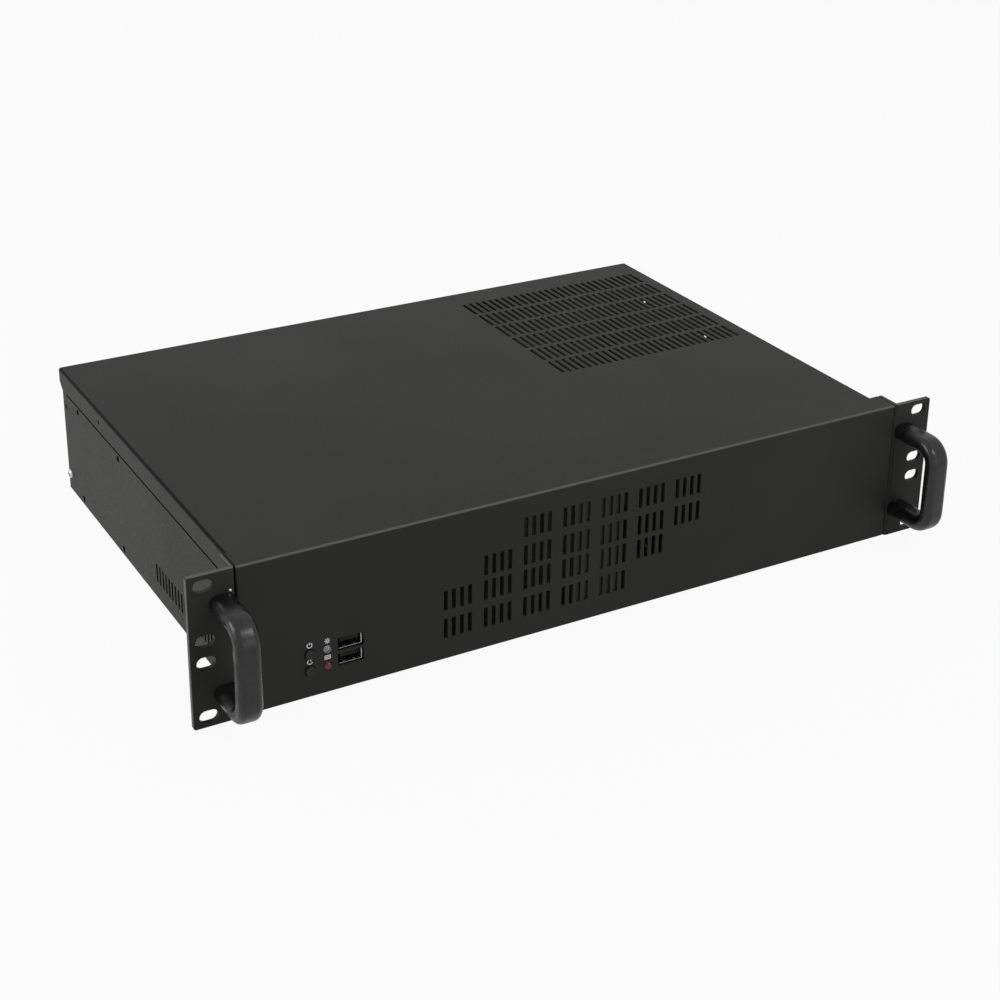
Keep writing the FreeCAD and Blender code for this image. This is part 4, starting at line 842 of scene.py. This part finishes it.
class CASE_OT_small_parts(bpy.types.Operator):
    """Pin on the left ear, and the pin headers behind the control board"""
    bl_idname = "rack_case.small_parts"
    bl_label = "Ear pin and pin headers"

    def execute(self, context):
        ear_low, ear_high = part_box("left_ear")
        pin = bmesh.new()
        seat = Vector((ear_high.x - 3.6 * MM, ear_low.y, 32 * MM))
        lathe(pin, [(0, 0.45 * MM), (0.5 * MM, 0.4 * MM), (0.85 * MM, 0.2 * MM),
                    (0.95 * MM, -0.05 * MM), (0.95 * MM, -0.4 * MM), (0, -0.4 * MM)],
              seat, (0, -1, 0), 24)
        finish_piece("ear_pin", pin, "chassis", "plated_steel")
        low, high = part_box("front_io_board")
        base, pins = bmesh.new(), bmesh.new()
        for column, count in ((low.x + 14 * MM, 5), (low.x + 34 * MM, 5)):
            row = high.z - 7 * MM
            pitch = 2.54 * MM
            box(base, (column - pitch / 2, high.y, row - pitch * 1.5),
                (column + pitch * (count - 0.5), high.y + 2.5 * MM, row + pitch / 2), 0.15 * MM)
            for across in range(count):
                for down in range(2):
                    at = Vector((column + across * pitch, high.y, row - down * pitch))
                    half = Vector((0.32 * MM, 0, 0.32 * MM))
                    box(pins, at - half - Vector((0, 0, 0)),
                        at + half + Vector((0, 8.5 * MM, 0)), 0.1 * MM)
        finish_piece("header_bases", base, "chassis", "switch_plastic")
        finish_piece("header_pins", pins, "chassis", "contact_gold")
        return {"FINISHED"}


class CASE_OT_stage(bpy.types.Operator):
    """Floor, camera, lamps and pale surroundings"""
    bl_idname = "rack_case.stage"
    bl_label = "Stage"

    def execute(self, context):
        look = props()[2]
        scene = context.scene
        low, high = CAD_BOX
        mesh = bmesh.new()
        bmesh.ops.create_grid(mesh, x_segments=1, y_segments=1, size=6,
                              matrix=Matrix.Translation((0, 0, low.z)))
        data = bpy.data.meshes.new("floor")
        mesh.to_mesh(data)
        mesh.free()
        floor = bpy.data.objects.new("floor", data)
        scene.collection.objects.link(floor)
        data.materials.append(self.floor_finish())

        view = bpy.data.cameras.new("camera")
        view.lens, view.sensor_width, view.shift_y = look.lens, 36.0, look.drop
        view.clip_start, view.clip_end = 0.01, 60
        camera = bpy.data.objects.new("camera", view)
        camera.location, camera.rotation_euler = look.camera, look.aim
        scene.collection.objects.link(camera)
        scene.camera = camera
        target = (low + high) / 2
        self.lamp("key", look.key, 0.45, target + Vector((0.40, -1.25, 1.25)), target)
        self.lamp("side", look.side, 0.7, target + Vector((-1.75, 0.35, 0.7)), target)
        self.lamp("fill", look.fill, 1.0, target + Vector((0.5, -2.0, 0.15)), target)
        self.sky(scene, look.sky)
        scene.view_settings.view_transform = "Standard"
        return {"FINISHED"}

    def seen(self, tree):
        """1 for the rays that show the surroundings: to the camera, in gloss and through glass."""
        path = tree.nodes.new("ShaderNodeLightPath")
        either = path.outputs["Is Camera Ray"]
        for ray in ("Is Glossy Ray", "Is Transmission Ray"):
            either = self.sum(tree, "MAXIMUM", either, path.outputs[ray])
        return either

    def sum(self, tree, operation, first, second):
        node = tree.nodes.new("ShaderNodeMath")
        node.operation = operation
        for socket, value in zip(node.inputs, (first, second)):
            if isinstance(value, (int, float)):
                socket.default_value = value
            else:
                tree.links.new(value, socket)
        return node.outputs[0]

    def rim(self, tree, value, outer, inner):
        """0 outside one distance, 1 inside another, with a smooth step between."""
        node = tree.nodes.new("ShaderNodeMapRange")
        node.interpolation_type = "SMOOTHSTEP"
        node.inputs["From Min"].default_value = outer
        node.inputs["From Max"].default_value = inner
        tree.links.new(value, node.inputs["Value"])
        return node.outputs["Result"]

    def shade_patch(self, tree, look):
        """Painted shadow on the floor behind the case, soft-edged, as if thrown by the lamps in front
        of it.
        """
        left, right, far, soft = look.shade
        where = tree.nodes.new("ShaderNodeTexCoord")
        split = tree.nodes.new("ShaderNodeSeparateXYZ")
        tree.links.new(where.outputs["Object"], split.inputs[0])
        back = self.sum(tree, "SUBTRACT", split.outputs["Y"], CAD_BOX[1].y)
        back = self.sum(tree, "MAXIMUM", back, 0.0)
        across = self.sum(tree, "SUBTRACT", split.outputs["X"],
                          self.sum(tree, "MULTIPLY", back, look.shade_lean))
        patch = self.rim(tree, split.outputs["X"], left - 4 * soft, left)
        for value, outer, inner in (
                (across, right + soft, right),
                (split.outputs["Y"], far + soft, far),
                (split.outputs["Y"], 0.0, 4 * soft)):
            patch = self.sum(tree, "MULTIPLY", patch, self.rim(tree, value, outer, inner))
        return patch

    def floor_finish(self):
        """Pale floor that stays near white to the camera and keeps the lamps' shadow, with a painted
        shadow behind the case.
        """
        material, tree, shader = new_finish(
            "pale_floor", (0.8, 0.8, 0.8), 0.9, Specular_IOR_Level=0.0)
        patch = self.shade_patch(tree, props()[2])
        # Painted shadow: inside the patch the floor's colour goes near black and its glow to the
        # camera fades.
        tree.links.new(ramp(tree, patch, (0.8, 0.8, 0.8), (0.01, 0.01, 0.01)),
                       shader.inputs["Base Color"])
        lit = self.sum(tree, "SUBTRACT", 1.0, patch)
        glow = tree.nodes.new("ShaderNodeEmission")
        mix = tree.nodes.new("ShaderNodeMixShader")
        seen = self.sum(tree, "MULTIPLY", self.seen(tree), 0.93)
        tree.links.new(self.sum(tree, "MULTIPLY", seen, lit), mix.inputs["Fac"])
        tree.links.new(shader.outputs[0], mix.inputs[1])
        tree.links.new(glow.outputs[0], mix.inputs[2])
        tree.links.new(mix.outputs[0], tree.nodes["Material Output"].inputs["Surface"])
        return material

    def lamp(self, name, power, size, place_, target):
        data = bpy.data.lights.new(name, "AREA")
        data.energy, data.size = power, size
        light = bpy.data.objects.new(name, data)
        light.location = place_
        light.rotation_euler = (target - place_).to_track_quat("-Z", "Y").to_euler()
        bpy.context.scene.collection.objects.link(light)

    def sky(self, scene, strength):
        world = bpy.data.worlds.new("studio")
        scene.world = world
        world.use_nodes = True
        tree = world.node_tree
        even = tree.nodes["Background"]
        even.inputs["Color"].default_value = (1, 1, 1, 1)
        even.inputs["Strength"].default_value = strength
        seen = tree.nodes.new("ShaderNodeBackground")
        seen.inputs["Color"].default_value = (1, 1, 1, 1)
        seen.inputs["Strength"].default_value = 1.0
        mix = tree.nodes.new("ShaderNodeMixShader")
        tree.links.new(self.seen(tree), mix.inputs["Fac"])
        tree.links.new(even.outputs[0], mix.inputs[1])
        tree.links.new(seen.outputs[0], mix.inputs[2])
        tree.links.new(mix.outputs[0], tree.nodes["World Output"].inputs["Surface"])


STEPS = (
    CASE_OT_stage, CASE_OT_coats, CASE_OT_handles, CASE_OT_screws, CASE_OT_buttons,
    CASE_OT_lamps, CASE_OT_sockets, CASE_OT_symbols, CASE_OT_shade_strips, CASE_OT_small_parts)


class CASE_PT_looks(bpy.types.Panel):
    """Steps that dress the case, in order"""
    bl_label = "Rack case"
    bl_idname = "CASE_PT_looks"
    bl_space_type = "VIEW_3D"
    bl_region_type = "UI"
    bl_category = "Rack case"

    def draw(self, context):
        column = self.layout.column()
        for step in STEPS:
            column.operator(step.bl_idname)
        for group in props():
            box_ = column.box()
            for name in group.bl_rna.properties.keys():
                if name not in ("rna_type", "name"):
                    box_.prop(group, name)


CLASSES = (CaseFinish, CaseDetail, CaseStudio, *STEPS, CASE_PT_looks)


def register():
    for part in CLASSES:
        bpy.utils.register_class(part)
    bpy.types.Scene.case_finish = PointerProperty(type=CaseFinish)
    bpy.types.Scene.case_detail = PointerProperty(type=CaseDetail)
    bpy.types.Scene.case_studio = PointerProperty(type=CaseStudio)


def unregister():
    del bpy.types.Scene.case_finish
    del bpy.types.Scene.case_detail
    del bpy.types.Scene.case_studio
    for part in reversed(CLASSES):
        bpy.utils.unregister_class(part)


def main():
    register()
    for step in STEPS:
        group, name = step.bl_idname.split(".")
        getattr(getattr(bpy.ops, group), name)()


if __name__ == "__main__":
    main()
